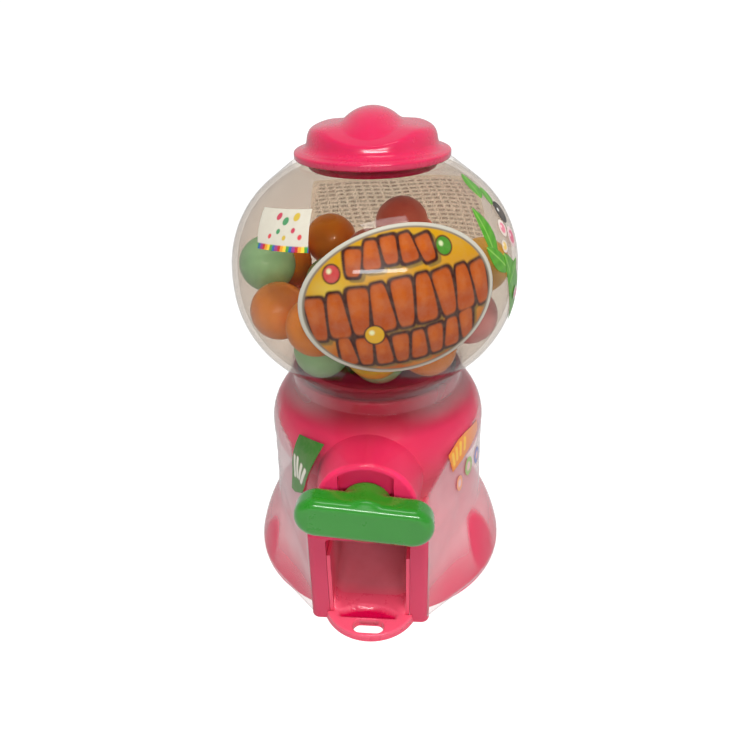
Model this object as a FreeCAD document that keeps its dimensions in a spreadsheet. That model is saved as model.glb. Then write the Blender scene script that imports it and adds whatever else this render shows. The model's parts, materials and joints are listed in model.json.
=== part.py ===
import FreeCAD, Part
import math
import os
import Sketcher

# Miniature gumball machine: a clear globe with a lift-off lid stands in the
# neck of a one-piece hourglass housing.  A cross handle on the front turns a
# horizontal drum whose pocket carries one ball at a time from the hopper to
# the chute, and a flat bottom plate with a hang-tab lip closes the foot.
# Frame: origin at the centre of the underside, on the globe's upright axis,
# +Z up, the chute and the handle face -Y, millimetres.

V = FreeCAD.Vector
doc = FreeCAD.newDocument("GumballMachine")

# ---------------------------------------------------------------------------
# driving dimensions
# ---------------------------------------------------------------------------
SPEC = [
    # globe: three tangent arcs from the equator to the crown, same below it
    ("globe_mid_height", 84.2, "height of the globe's widest circle"),
    ("arc_a_radius", 38.71, "film-side radius of the equator arc"),
    ("arc_a_offset", -3.51, "its centre, from the upright axis"),
    ("arc_a_angle", 6.192, "degrees up to the shoulder arc"),
    ("arc_b_radius", 25.713, "shoulder arc"),
    ("arc_b_angle", 51.203, "degrees up to the crown arc"),
    ("arc_c_radius", 32.309, "crown arc"),
    ("sleeve_wall", 0.2, "shrink sleeve thickness"),
    ("sleeve_gap", 0.05, "air between sleeve and shell"),
    ("globe_wall", 1.2, "globe wall"),
    ("globe_neck_radius", 21.2, "outside of the globe's lower neck"),
    ("globe_mouth_radius", 15.0, "opening under the lid"),
    ("globe_top_radius", 16.9, "outside of the upstand round the opening"),
    ("globe_top_height", 111.4, "top face of that upstand"),
    ("neck_seat_height", 53.0, "ledge that the globe stands on"),
    # lid
    ("lid_brim_radius", 18.1, "brim"),
    ("lid_brim_low", 111.5, "underside of the brim"),
    ("lid_brim_high", 113.2, "top edge of the brim"),
    ("lid_dome_radius", 15.0, "side of the dome"),
    ("lid_dome_low", 115.4, "where the dome side starts"),
    ("lid_flat_radius", 10.4, "flat crown"),
    ("lid_flat_height", 119.75, "height of the crown"),
    ("lid_plug_radius", 14.95, "plug inside the globe mouth"),
    ("lid_plug_low", 109.4, "lower edge of the plug"),
    ("lid_wall", 1.4, "lid wall"),
    ("grip_half_width", 9.0, "grip ridge, half width at its root"),
    ("grip_half_length", 14.6, "grip ridge, half length"),
    ("grip_rise", 8.4, "grip ridge, height above its centre"),
    ("grip_centre_height", 114.0, "height of the ridge's centre"),
    ("crown_radius", 32.0, "front-to-back crowning of the lid"),
    # housing outline
    ("foot_radius", 35.5, "foot"),
    ("foot_edge", 1.2, "rounding of the foot's lower edge"),
    ("foot_band", 2.5, "height of the upright band"),
    ("skirt_top_radius", 29.0, "top of the flared skirt"),
    ("skirt_top_height", 18.3, "its height"),
    ("skirt_arc", 45.0, "skirt arc"),
    ("waist_radius", 24.6, "narrowest circle"),
    ("waist_height", 27.5, "its height"),
    ("waist_low_arc", 11.8, "hollow below the waist"),
    ("waist_high_arc", 15.4, "hollow above the waist"),
    ("chest_low_radius", 26.74, "where the chest arc starts"),
    ("chest_low_height", 35.33, "its height"),
    ("chest_radius", 28.7, "widest circle of the upper body"),
    ("chest_height", 42.5, "its height"),
    ("chest_low_arc", 14.09, "arc below the chest"),
    ("chest_high_arc", 15.3, "arc above the chest"),
    ("collar_radius", 22.4, "collar round the globe's neck"),
    ("collar_high", 58.2, "top of the collar"),
    ("housing_wall", 1.6, "wall"),
    ("neck_fit", 0.05, "radial clearance at the globe's neck"),
    ("seat_radius", 18.5, "inside of the seat ledge"),
    ("seat_thick", 1.2, "seat ledge thickness"),
    # handle boss and chute surround
    ("axle_height", 38.3, "handle and drum axis"),
    ("boss_radius", 12.1, "handle boss at its front"),
    ("boss_root_radius", 13.3, "handle boss at the body"),
    ("boss_front", 36.4, "front plane of boss and chute surround"),
    ("boss_round", 1.0, "rounded front rim"),
    ("recess_half_width", 6.6, "upright recess in the boss"),
    ("recess_reach", 10.6, "its half height"),
    ("recess_depth", 2.2, "its depth"),
    ("surround_half_width", 15.5, "chute surround"),
    ("surround_height", 28.8, "its height"),
    ("surround_round", 2.2, "rounded outer corners"),
    ("mouth_half_width", 10.5, "chute mouth"),
    ("mouth_height", 27.2, "top of the chute mouth"),
    ("post_radius", 3.0, "screw posts"),
    ("post_circle", 27.0, "radius of the post circle"),
    ("screw_radius", 1.25, "screw shank and pilot hole"),
    # bottom plate
    ("plate_radius", 33.3, "bottom plate"),
    ("plate_thick", 1.6, "bottom plate thickness"),
    ("tongue_half_width", 10.4, "tongue between the chute sides"),
    ("lip_arc", 12.9, "lip outline"),
    ("lip_centre", 30.5, "lip arc centre, ahead of the axis"),
    ("lip_back", 36.45, "where the lip starts"),
    ("slot_centre", 40.4, "hang slot, ahead of the axis"),
    ("slot_half_length", 4.0, "hang slot, half length"),
    ("slot_half_width", 1.95, "hang slot, half width"),
    ("counterbore_radius", 2.5, "screw head recess"),
    ("counterbore_depth", 1.0, "its depth"),
    ("screw_hole_radius", 1.4, "clearance hole"),
    # handle
    ("bar_half_length", 16.3, "handle bar"),
    ("bar_half_height", 5.35, "its half height"),
    ("bar_front", 43.9, "front of the bar"),
    ("bar_back", 36.9, "back of the bar"),
    ("bar_round", 2.3, "rounded edges of the bar"),
    ("hub_radius", 6.2, "handle hub"),
    ("hub_front", 43.2, "front of the hub"),
    ("hub_back", 34.4, "back of the hub"),
    ("stem_radius", 4.0, "stem in the boss bore"),
    ("stem_fit", 0.05, "radial running clearance"),
    ("stem_end", 17.2, "end of the round stem"),
    ("tang_half", 2.8, "square drive tang, half width"),
    ("tang_end", 10.2, "end of the tang"),
    ("pin_radius", 0.8, "drive pin"),
    ("pin_plane", 13.6, "drive pin, ahead of the axis"),
    ("pin_half_length", 6.3, "drive pin, half length"),
    ("rest_turn", 5.5, "degrees that the handle stands turned at rest"),
    # drum
    ("drum_radius", 14.4, "dispensing drum"),
    ("drum_half_length", 9.3, "its half length"),
    ("pocket_radius", 7.7, "ball pocket"),
    ("pocket_floor", 0.4, "pocket floor below the axis"),
    ("drum_hub_radius", 6.5, "drive hub"),
    ("drum_hub_end", 17.0, "front end of the drive hub"),
    ("trunnion_radius", 3.0, "rear trunnion"),
    ("trunnion_end", 15.6, "its rear end"),
    # rear bearing
    ("bearing_front", 12.0, "front face of the bearing post"),
    ("bearing_thick", 2.5, "its thickness"),
    ("bearing_half_width", 7.0, "its half width"),
    ("bearing_foot", 22.0, "rear end of its foot"),
    # hopper
    ("hopper_radius", 19.95, "hopper, inside the globe's neck"),
    ("hopper_rim", 60.5, "top of its rim"),
    ("hopper_hole", 7.9, "ball hole"),
    ("hopper_lip", 56.9, "height of the hole's upper edge"),
    ("hopper_low", 53.3, "lower end of the ball tube"),
    ("hopper_wall", 1.4, "wall"),
    # chute
    ("chute_half_width", 10.45, "chute, outside"),
    ("chute_wall", 0.9, "chute side walls"),
    ("chute_front", 36.3, "front end"),
    ("chute_round", 3.0, "rounded banks between ramp and side walls"),
    ("chute_back", 11.0, "rear end"),
    ("chute_high", 22.0, "top of the side walls"),
    ("ramp_high", 9.8, "ramp height at its rear end"),
    ("ramp_low", 2.6, "ramp height at its front end"),
    # gumballs
    ("ball_radius", 7.0, "gumball"),
]

sheet = doc.addObject("Spreadsheet::Sheet", "Spec")
VALUE = {}
for row, (alias, number, note) in enumerate(SPEC, start=1):
    sheet.set("A%d" % row, note)
    sheet.set("B%d" % row, repr(number))
    sheet.setAlias("B%d" % row, alias)
    VALUE[alias] = number
doc.recompute()


class Q:
    """A size that carries both its number and its spreadsheet expression."""

    def __init__(self, number, text):
        self.v = float(number)
        self.e = text

    def __add__(self, other):
        other = q(other)
        return Q(self.v + other.v, "(%s + %s)" % (self.e, other.e))

    def __sub__(self, other):
        other = q(other)
        return Q(self.v - other.v, "(%s - %s)" % (self.e, other.e))

    def __mul__(self, other):
        other = q(other)
        return Q(self.v * other.v, "(%s * %s)" % (self.e, other.e))

    def __neg__(self):
        return Q(-self.v, "(0 - %s)" % self.e)


def q(x):
    if isinstance(x, Q):
        return x
    return Q(x, "(%r)" % float(x))


def d(alias):
    return Q(VALUE[alias], "Spec." + alias)


# ---------------------------------------------------------------------------
# sketch and feature helpers
# ---------------------------------------------------------------------------
def origin_plane(body, role):
    for feature in body.Origin.OriginFeatures:
        if feature.Role == role:
            return feature
    raise RuntimeError("no plane " + role)


def new_body(name):
    body = doc.addObject("PartDesign::Body", name + "_body")
    body.Label = name
    return body


def new_sketch(body, name, role, lift=None, rise=None):
    """Sketch on one of the body's origin planes.  lift moves it along the
    plane's normal, rise moves it along the sketch's own vertical."""
    sk = body.newObject("Sketcher::SketchObject", name)
    sk.AttachmentSupport = [(origin_plane(body, role), "")]
    sk.MapMode = "FlatFace"
    up = q(rise).v if rise is not None else 0.0
    out = q(lift).v if lift is not None else 0.0
    sk.AttachmentOffset = FreeCAD.Placement(V(0, up, out), FreeCAD.Rotation())
    if lift is not None:
        sk.setExpression("AttachmentOffset.Base.z", q(lift).e)
    if rise is not None:
        sk.setExpression("AttachmentOffset.Base.y", q(rise).e)
    return sk


def pin_point(sk, geo, pos, x, y):
    """Fix one point of a sketch by its distances from the sketch origin."""
    if abs(x.v) < 1e-9:
        sk.addConstraint(Sketcher.Constraint("PointOnObject", geo, pos, -2))
    else:
        k = sk.addConstraint(Sketcher.Constraint("DistanceX", -1, 1, geo, pos, x.v))
        sk.setExpression("Constraints[%d]" % k, x.e)
    if abs(y.v) < 1e-9:
        sk.addConstraint(Sketcher.Constraint("PointOnObject", geo, pos, -1))
    else:
        k = sk.addConstraint(Sketcher.Constraint("DistanceY", -1, 1, geo, pos, y.v))
        sk.setExpression("Constraints[%d]" % k, y.e)


def outline(sk, points, arcs=None):
    """Closed outline through points.  arcs maps an edge's number to its
    (radius, turn), turn +1 for an arc that runs anticlockwise, -1 clockwise."""
    arcs = arcs or {}
    pts = [(q(x), q(y)) for x, y in points]
    count = len(pts)
    ends = []
    for k in range(count):
        a, b = pts[k], pts[(k + 1) % count]
        p, r = V(a[0].v, a[1].v, 0), V(b[0].v, b[1].v, 0)
        if k in arcs:
            radius, turn = q(arcs[k][0]), arcs[k][1]
            chord = r - p
            half = chord.Length / 2.0
            if half > radius.v:
                raise RuntimeError("%s: arc %d too small, %g < %g" % (sk.Name, k, radius.v, half))
            rise = math.sqrt(radius.v ** 2 - half ** 2)
            left = V(-chord.y, chord.x, 0) / chord.Length
            centre = (p + r) / 2.0 + left * (rise * turn)
            a0 = math.atan2(p.y - centre.y, p.x - centre.x)
            a1 = math.atan2(r.y - centre.y, r.x - centre.x)
            if turn < 0:
                a0, a1 = a1, a0
            if a1 < a0:
                a1 += 2 * math.pi
            geo = sk.addGeometry(Part.ArcOfCircle(
                Part.Circle(centre, V(0, 0, 1), radius.v), a0, a1), False)
            ends.append((geo, 1, 2) if turn > 0 else (geo, 2, 1))
        else:
            geo = sk.addGeometry(Part.LineSegment(p, r), False)
            ends.append((geo, 1, 2))
    for k in range(count):
        g0, _, e0 = ends[k]
        g1, s1, _ = ends[(k + 1) % count]
        sk.addConstraint(Sketcher.Constraint("Coincident", g0, e0, g1, s1))
    for k in range(count):
        geo, start, _ = ends[k]
        pin_point(sk, geo, start, pts[k][0], pts[k][1])
    for k, (radius, _) in arcs.items():
        c = sk.addConstraint(Sketcher.Constraint("Radius", ends[k][0], q(radius).v))
        sk.setExpression("Constraints[%d]" % c, q(radius).e)


def circle(sk, x, y, radius):
    x, y, radius = q(x), q(y), q(radius)
    geo = sk.addGeometry(Part.Circle(V(x.v, y.v, 0), V(0, 0, 1), radius.v), False)
    if abs(x.v) < 1e-9 and abs(y.v) < 1e-9:
        sk.addConstraint(Sketcher.Constraint("Coincident", geo, 3, -1, 1))
    else:
        pin_point(sk, geo, 3, x, y)
    c = sk.addConstraint(Sketcher.Constraint("Radius", geo, radius.v))
    sk.setExpression("Constraints[%d]" % c, radius.e)


def slot(sk, x, y, half_length, half_width):
    """Slot with round ends, long along the sketch's horizontal."""
    x, y, a, b = q(x), q(y), q(half_length), q(half_width)
    s = a - b
    outline(sk, [(x - s, y - b), (x + s, y - b), (x + a, y), (x + s, y + b),
                 (x - s, y + b), (x - a, y)],
            {1: (b, 1), 2: (b, 1), 4: (b, 1), 5: (b, 1)})


def rect(sk, x0, y0, x1, y1):
    outline(sk, [(x0, y0), (x1, y0), (x1, y1), (x0, y1)])


def pad(body, sk, name, length, reverse=False):
    f = body.newObject("PartDesign::Pad", name)
    f.Profile = sk
    f.Length = q(length).v
    f.setExpression("Length", q(length).e)
    f.Reversed = reverse
    sk.Visibility = False
    return f


def pocket(body, sk, name, length, reverse=False):
    doc.recompute()
    before = body.Shape.Volume
    f = body.newObject("PartDesign::Pocket", name)
    f.Profile = sk
    f.Length = q(length).v
    f.setExpression("Length", q(length).e)
    f.Reversed = reverse
    doc.recompute()
    if not body.Shape.Volume < before - 1e-3:
        raise RuntimeError("%s removes nothing" % name)
    return f


def revolve(body, sk, name, axis="V_Axis"):
    f = body.newObject("PartDesign::Revolution", name)
    f.Profile = sk
    f.ReferenceAxis = (sk, [axis])
    f.Angle = 360.0
    return f


def groove(body, sk, name, axis="V_Axis"):
    doc.recompute()
    before = body.Shape.Volume
    f = body.newObject("PartDesign::Groove", name)
    f.Profile = sk
    f.ReferenceAxis = (sk, [axis])
    f.Angle = 360.0
    doc.recompute()
    if not body.Shape.Volume < before - 1e-3:
        raise RuntimeError("%s removes nothing" % name)
    return f


def edges_where(feature, test):
    """Names of the edges whose box passes test(box)."""
    return ["Edge%d" % (k + 1) for k, e in enumerate(feature.Shape.Edges)
            if test(e.BoundBox)]


def round_edges(body, feature, name, radius, test):
    doc.recompute()
    names = edges_where(feature, test)
    if not names:
        raise RuntimeError("%s finds no edge" % name)
    f = body.newObject("PartDesign::Fillet", name)
    f.Base = (feature, names)
    f.Radius = q(radius).v
    f.setExpression("Radius", q(radius).e)
    return f


def meet(c1, r1, c2, r2, near):
    """Crossing of two circles of the r-z plane, the one nearest to near."""
    dx, dz = c2[0] - c1[0], c2[1] - c1[1]
    span = math.hypot(dx, dz)
    a = (r1 * r1 - r2 * r2 + span * span) / (2 * span)
    height = math.sqrt(max(0.0, r1 * r1 - a * a))
    mx, mz = c1[0] + a * dx / span, c1[1] + a * dz / span
    out = [(mx + s * height * dz / span, mz - s * height * dx / span) for s in (1, -1)]
    return min(out, key=lambda p: math.hypot(p[0] - near[0], p[1] - near[1]))


def arc_centre(p, r, radius, turn):
    dx, dz = r[0] - p[0], r[1] - p[1]
    chord = math.hypot(dx, dz)
    rise = math.sqrt(radius ** 2 - chord ** 2 / 4)
    return ((p[0] + r[0]) / 2 - dz / chord * rise * turn,
            (p[1] + r[1]) / 2 + dx / chord * rise * turn)


# ---------------------------------------------------------------------------
# globe outline: the same three arcs serve the sleeve, the shell's outside and
# its inside, each a fixed distance inside the one before
# ---------------------------------------------------------------------------
MID = VALUE["globe_mid_height"]
RA, RB, RC = VALUE["arc_a_radius"], VALUE["arc_b_radius"], VALUE["arc_c_radius"]
TA, TB = math.radians(VALUE["arc_a_angle"]), math.radians(VALUE["arc_b_angle"])
CA = (VALUE["arc_a_offset"], 0.0)
CB = (CA[0] + (RA - RB) * math.cos(TA), CA[1] + (RA - RB) * math.sin(TA))
CC = (CB[0] + (RB - RC) * math.cos(TB), CB[1] + (RB - RC) * math.sin(TB))


def globe_points(inset, low_r, high_r):
    """Points from the lower end (radius low_r) to the upper end (radius
    high_r): crown, shoulder, equator, shoulder, crown."""
    def on(centre, radius, angle, side):
        return (centre[0] + (radius - inset) * math.cos(angle),
                MID + side * (centre[1] + (radius - inset) * math.sin(angle)))
    low = math.acos((low_r - CC[0]) / (RC - inset))
    high = math.acos((high_r - CC[0]) / (RC - inset))
    return [on(CC, RC, low, -1), on(CB, RB, TB, -1), on(CA, RA, TA, -1),
            on(CA, RA, TA, 1), on(CB, RB, TB, 1), on(CC, RC, high, 1)]


# ---- globe ---------------------------------------------------------------
globe = new_body("globe")
g_out = VALUE["sleeve_wall"] + VALUE["sleeve_gap"]
g_in = g_out + VALUE["globe_wall"]
neck_r, mouth_r, top_r = VALUE["globe_neck_radius"], VALUE["globe_mouth_radius"], VALUE["globe_top_radius"]
outer = globe_points(g_out, neck_r, top_r)
inner = globe_points(g_in, neck_r - VALUE["globe_wall"], mouth_r)
film_to_glass = d("sleeve_wall") + d("sleeve_gap")
glass_in = film_to_glass + d("globe_wall")
sk = new_sketch(globe, "GlobeSection", "XZ_Plane")
pts = [(d("globe_neck_radius"), d("neck_seat_height"))]
pts += [(d("globe_neck_radius"), outer[0][1])] + outer[1:5]
pts += [(d("globe_top_radius"), outer[5][1]), (d("globe_top_radius"), d("globe_top_height")),
        (d("globe_mouth_radius"), d("globe_top_height")), (d("globe_mouth_radius"), inner[5][1])]
pts += inner[4:0:-1]
pts += [(d("globe_neck_radius") - d("globe_wall"), inner[0][1]),
        (d("globe_neck_radius") - d("globe_wall"), d("neck_seat_height"))]
outline(sk, pts, {
    1: (d("arc_c_radius") - film_to_glass, 1), 2: (d("arc_b_radius") - film_to_glass, 1),
    3: (d("arc_a_radius") - film_to_glass, 1), 4: (d("arc_b_radius") - film_to_glass, 1),
    5: (d("arc_c_radius") - film_to_glass, 1),
    9: (d("arc_c_radius") - glass_in, -1), 10: (d("arc_b_radius") - glass_in, -1),
    11: (d("arc_a_radius") - glass_in, -1), 12: (d("arc_b_radius") - glass_in, -1),
    13: (d("arc_c_radius") - glass_in, -1)})
revolve(globe, sk, "GlobeShell")

# ---- hopper: funnel with the ball hole, dropped inside the globe's neck ---
hopper = new_body("hopper")
sk = new_sketch(hopper, "HopperSection", "XZ_Plane")
outline(sk, [
    (d("hopper_radius"), d("neck_seat_height")), (d("hopper_radius"), d("hopper_rim")),
    (d("hopper_radius") - 0.5, d("hopper_rim")), (d("hopper_hole") + 0.8, d("hopper_lip")),
    (d("hopper_hole"), d("hopper_lip") - 0.8), (d("hopper_hole"), d("hopper_low")),
    (d("hopper_hole") + d("hopper_wall"), d("hopper_low")),
    (d("hopper_hole") + d("hopper_wall"), d("hopper_lip") - d("hopper_wall")),
    (d("hopper_radius") - d("hopper_wall"), d("hopper_rim") - d("hopper_wall") - 0.7),
    (d("hopper_radius") - d("hopper_wall"), d("neck_seat_height"))],
    {3: (Q(0.8, "0.8"), 1)})
revolve(hopper, sk, "HopperShell")

# ---- lid: turned shell, crowned front to back, with a moulded grip ridge ---
lid_turned = new_body("lid_turned")
sk = new_sketch(lid_turned, "LidSection", "XZ_Plane")
flare_r, flare_z = 16.9, VALUE["lid_brim_high"] + 0.35
outline(sk, [
    (0, d("lid_brim_low")), (d("lid_brim_radius") - 0.5, d("lid_brim_low")),
    (d("lid_brim_radius"), d("lid_brim_low") + 0.5), (d("lid_brim_radius"), d("lid_brim_high") - 0.3),
    (d("lid_brim_radius") - 0.3, d("lid_brim_high")),
    (flare_r, flare_z), (d("lid_dome_radius"), d("lid_dome_low")),
    (d("lid_flat_radius"), d("lid_flat_height")), (0, d("lid_flat_height"))],
    {1: (Q(0.5, "0.5"), 1), 3: (Q(0.3, "0.3"), 1),
     5: (Q(2.1, "2.1"), -1), 6: (Q(4.75, "4.75"), 1)})
revolve(lid_turned, sk, "LidTurned")
lid_crown = doc.addObject("Part::Cylinder", "LidCrown")
lid_crown.Radius = VALUE["crown_radius"]
lid_crown.setExpression("Radius", "Spec.crown_radius")
lid_crown.Height = 60.0
lid_crown.Placement = FreeCAD.Placement(
    V(-30, 0, VALUE["lid_flat_height"] - VALUE["crown_radius"]), FreeCAD.Rotation(V(0, 1, 0), 90))
lid_crown.setExpression("Placement.Base.z", "Spec.lid_flat_height - Spec.crown_radius")
lid_common = doc.addObject("Part::Common", "LidCrowned")
lid_common.Base = lid_turned
lid_common.Tool = lid_crown


def ridge(name, shrink):
    e = doc.addObject("Part::Ellipsoid", name)
    for prop, alias in (("Radius1", "grip_rise"), ("Radius2", "grip_half_width"),
                        ("Radius3", "grip_half_length")):
        setattr(e, prop, VALUE[alias] - shrink.v)
        e.setExpression(prop, "Spec.%s - %s" % (alias, shrink.e))
    e.Angle1 = 0.0
    e.Angle2 = 90.0
    e.Angle3 = 360.0
    e.Placement = FreeCAD.Placement(V(0, 0, VALUE["grip_centre_height"]), FreeCAD.Rotation())
    e.setExpression("Placement.Base.z", "Spec.grip_centre_height")
    return e


lid_fused = doc.addObject("Part::Fuse", "LidWithGrip")
lid_fused.Base = lid_common
lid_fused.Tool = ridge("GripRidge", q(0))
lid_plug = doc.addObject("Part::Cylinder", "LidPlug")
lid_plug.Radius = VALUE["lid_plug_radius"]
lid_plug.setExpression("Radius", "Spec.lid_plug_radius")
lid_plug.Height = VALUE["lid_brim_low"] - VALUE["lid_plug_low"] + 0.5
lid_plug.setExpression("Height", "Spec.lid_brim_low - Spec.lid_plug_low + 0.5")
lid_plug.Placement = FreeCAD.Placement(V(0, 0, VALUE["lid_plug_low"]), FreeCAD.Rotation())
lid_plug.setExpression("Placement.Base.z", "Spec.lid_plug_low")
lid_solid = doc.addObject("Part::Fuse", "LidSolid")
lid_solid.Base = lid_fused
lid_solid.Tool = lid_plug
lid_core = new_body("lid_core")
sk = new_sketch(lid_core, "LidCoreSection", "XZ_Plane")
core_r = d("lid_dome_radius") - d("lid_wall") - 0.1
outline(sk, [(0, d("lid_plug_low") - 1.0), (core_r, d("lid_plug_low") - 1.0),
             (core_r, d("lid_dome_low") - 0.6),
             (d("lid_flat_radius") - 1.0, d("lid_flat_height") - 2.2),
             (0, d("lid_flat_height") - 2.2)],
        {2: (Q(4.6, "4.6"), 1)})
revolve(lid_core, sk, "LidCore")
lid_hollow = doc.addObject("Part::Cut", "LidHollow")
lid_hollow.Base = lid_solid
lid_hollow.Tool = lid_core
lid = doc.addObject("Part::Cut", "LidFinal")
lid.Base = lid_hollow
lid.Tool = ridge("GripHollow", d("lid_wall"))
lid.Label = "lid"

# ---- housing: hourglass shell with handle boss and chute surround ---------
housing = new_body("housing")
wall = VALUE["housing_wall"]
P_foot = (VALUE["foot_radius"], VALUE["foot_band"])
P_skirt = (VALUE["skirt_top_radius"], VALUE["skirt_top_height"])
P_waist = (VALUE["waist_radius"], VALUE["waist_height"])
P_low = (VALUE["chest_low_radius"], VALUE["chest_low_height"])
P_chest = (VALUE["chest_radius"], VALUE["chest_height"])
K_skirt = arc_centre(P_foot, P_skirt, VALUE["skirt_arc"], 1)
K_waist_low = (P_waist[0] + VALUE["waist_low_arc"], P_waist[1])
K_waist_high = (P_waist[0] + VALUE["waist_high_arc"], P_waist[1])
K_chest_low = (P_chest[0] - VALUE["chest_low_arc"], P_chest[1])
K_chest_high = (P_chest[0] - VALUE["chest_high_arc"], P_chest[1])
collar_z = K_chest_high[1] + math.sqrt(VALUE["chest_high_arc"] ** 2
                                       - (VALUE["collar_radius"] - K_chest_high[0]) ** 2)
sk = new_sketch(housing, "HousingOutside", "XZ_Plane")
outline(sk, [
    (0, 0), (d("foot_radius") - d("foot_edge"), 0), (d("foot_radius"), d("foot_edge")),
    (d("foot_radius"), d("foot_band")), (d("skirt_top_radius"), d("skirt_top_height")),
    (d("waist_radius"), d("waist_height")), (d("chest_low_radius"), d("chest_low_height")),
    (d("chest_radius"), d("chest_height")), (d("collar_radius"), collar_z),
    (d("collar_radius"), d("collar_high") - 0.5), (d("collar_radius") - 0.5, d("collar_high")),
    (0, d("collar_high"))],
    {1: (d("foot_edge"), 1), 3: (d("skirt_arc"), 1), 4: (d("waist_low_arc"), -1),
     5: (d("waist_high_arc"), -1), 6: (d("chest_low_arc"), 1), 7: (d("chest_high_arc"), 1),
     9: (Q(0.5, "0.5"), 1)})
revolve(housing, sk, "HousingSolid")

# chute surround: a square porch with rounded outer corners
sk = new_sketch(housing, "SurroundPlan", "XY_Plane")
w, fr, rr = d("surround_half_width"), d("boss_front"), d("surround_round")
outline(sk, [(-w, -20), (-w, rr - fr), (rr - w, -fr), (w - rr, -fr), (w, rr - fr), (w, -20)],
        {1: (rr, 1), 3: (rr, 1)})
surround = pad(housing, sk, "Surround", d("surround_height"))
doc.recompute()
roof = VALUE["surround_height"]
# the porch roof is rounded where it stands clear of the body
front_edge = lambda b: (abs(b.ZMin - roof) < 1e-4 and abs(b.ZMax - roof) < 1e-4
                        and b.YMax < -VALUE["boss_front"] + VALUE["surround_round"] + 1e-3)
if edges_where(surround, front_edge):
    round_edges(housing, surround, "PorchRound", q(1.5), front_edge)

# chute mouth through the porch; the boss, added after it, hangs over its top
sk = new_sketch(housing, "MouthOutline", "XZ_Plane", lift=Q(40, "40"))
mw, mh = d("mouth_half_width"), d("mouth_height")
outline(sk, [(-mw, -1), (mw, -1), (mw, mh - 1.0), (mw - 1.0, mh), (q(1.0) - mw, mh), (-mw, mh - 1.0)],
        {2: (Q(1.0, "1.0"), 1), 4: (Q(1.0, "1.0"), 1)})
pocket(housing, sk, "ChuteMouth", Q(24, "24"))

# handle boss, flaring slightly towards the body
sk = new_sketch(housing, "BossSection", "YZ_Plane", rise=d("axle_height"))
outline(sk, [
    (-18, 0), (-d("boss_front"), 0), (-d("boss_front"), d("boss_radius") - d("boss_round")),
    (d("boss_round") - d("boss_front"), d("boss_radius")),
    (-25, d("boss_root_radius")), (-18, d("boss_root_radius"))],
    {2: (d("boss_round"), -1)})
revolve(housing, sk, "Boss", "H_Axis")

# hollow: the wall follows the outside
skirt_in = (K_skirt, VALUE["skirt_arc"] - wall)
J_skirt = meet(K_skirt, VALUE["skirt_arc"] - wall, K_waist_low, VALUE["waist_low_arc"] + wall,
               (P_skirt[0] - wall, P_skirt[1]))
J_low = meet(K_waist_high, VALUE["waist_high_arc"] + wall, K_chest_low, VALUE["chest_low_arc"] - wall,
             (P_low[0] - wall, P_low[1]))
plate_hole = VALUE["plate_radius"] + 0.15
skirt_start = K_skirt[1] + math.sqrt((VALUE["skirt_arc"] - wall) ** 2 - (plate_hole - K_skirt[0]) ** 2)
seat_under = VALUE["neck_seat_height"] - VALUE["seat_thick"]
seat_r = K_chest_high[0] + math.sqrt((VALUE["chest_high_arc"] - wall) ** 2
                                     - (seat_under - K_chest_high[1]) ** 2)
sk = new_sketch(housing, "HousingInside", "XZ_Plane")
outline(sk, [
    (0, -1), (d("plate_radius") + 0.15, -1), (d("plate_radius") + 0.15, skirt_start), J_skirt,
    (d("waist_radius") - d("housing_wall"), d("waist_height")), J_low,
    (d("chest_radius") - d("housing_wall"), d("chest_height")),
    (seat_r, d("neck_seat_height") - d("seat_thick")), (d("seat_radius"), d("neck_seat_height") - d("seat_thick")),
    (d("seat_radius"), d("neck_seat_height")),
    (d("globe_neck_radius") + d("neck_fit"), d("neck_seat_height")),
    (d("globe_neck_radius") + d("neck_fit"), d("collar_high") + 1.0), (0, d("collar_high") + 1.0)],
    {2: (d("skirt_arc") - d("housing_wall"), 1), 3: (d("waist_low_arc") + d("housing_wall"), -1),
     4: (d("waist_high_arc") + d("housing_wall"), -1), 5: (d("chest_low_arc") - d("housing_wall"), 1),
     6: (d("chest_high_arc") - d("housing_wall"), 1)})
groove(housing, sk, "HousingHollow")

# upright recess in the boss face, its ends following the rim
sk = new_sketch(housing, "RecessOutline", "XZ_Plane", lift=Q(40, "40"), rise=d("axle_height"))
rw, reach = d("recess_half_width"), d("recess_reach")
side = math.sqrt(reach.v ** 2 - rw.v ** 2)
outline(sk, [(rw, -side), (rw, side), (-rw, side), (-rw, -side)],
        {1: (reach, 1), 3: (reach, 1)})
pocket(housing, sk, "BossRecess", q(40) - d("boss_front") + d("recess_depth"))

# the boss is cored from behind and bored for the handle's stem
sk = new_sketch(housing, "BossCoreOutline", "XZ_Plane", lift=Q(18, "18"), rise=d("axle_height"))
circle(sk, 0, 0, d("boss_radius") - d("housing_wall"))
pocket(housing, sk, "BossCore", d("boss_front") - 4.9 - 18, reverse=True)
sk = new_sketch(housing, "StemBoreOutline", "XZ_Plane", lift=Q(40, "40"), rise=d("axle_height"))
circle(sk, 0, 0, d("stem_radius") + d("stem_fit"))
pocket(housing, sk, "StemBore", Q(22, "22"))

# three screw posts, rooted in the skirt
POST_AT = [30.0, 90.0, 150.0]
plate_z = VALUE["plate_thick"]
sk = new_sketch(housing, "PostPlan", "XY_Plane", lift=d("plate_thick"))
for a in POST_AT:
    circle(sk, d("post_circle") * math.cos(math.radians(a)),
           d("post_circle") * math.sin(math.radians(a)), d("post_radius"))
pad(housing, sk, "Posts", Q(14, "14"))
sk = new_sketch(housing, "PilotPlan", "XY_Plane", lift=d("plate_thick"))
for a in POST_AT:
    circle(sk, d("post_circle") * math.cos(math.radians(a)),
           d("post_circle") * math.sin(math.radians(a)), d("screw_radius"))
pocket(housing, sk, "Pilots", Q(9, "9"), reverse=True)

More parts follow.
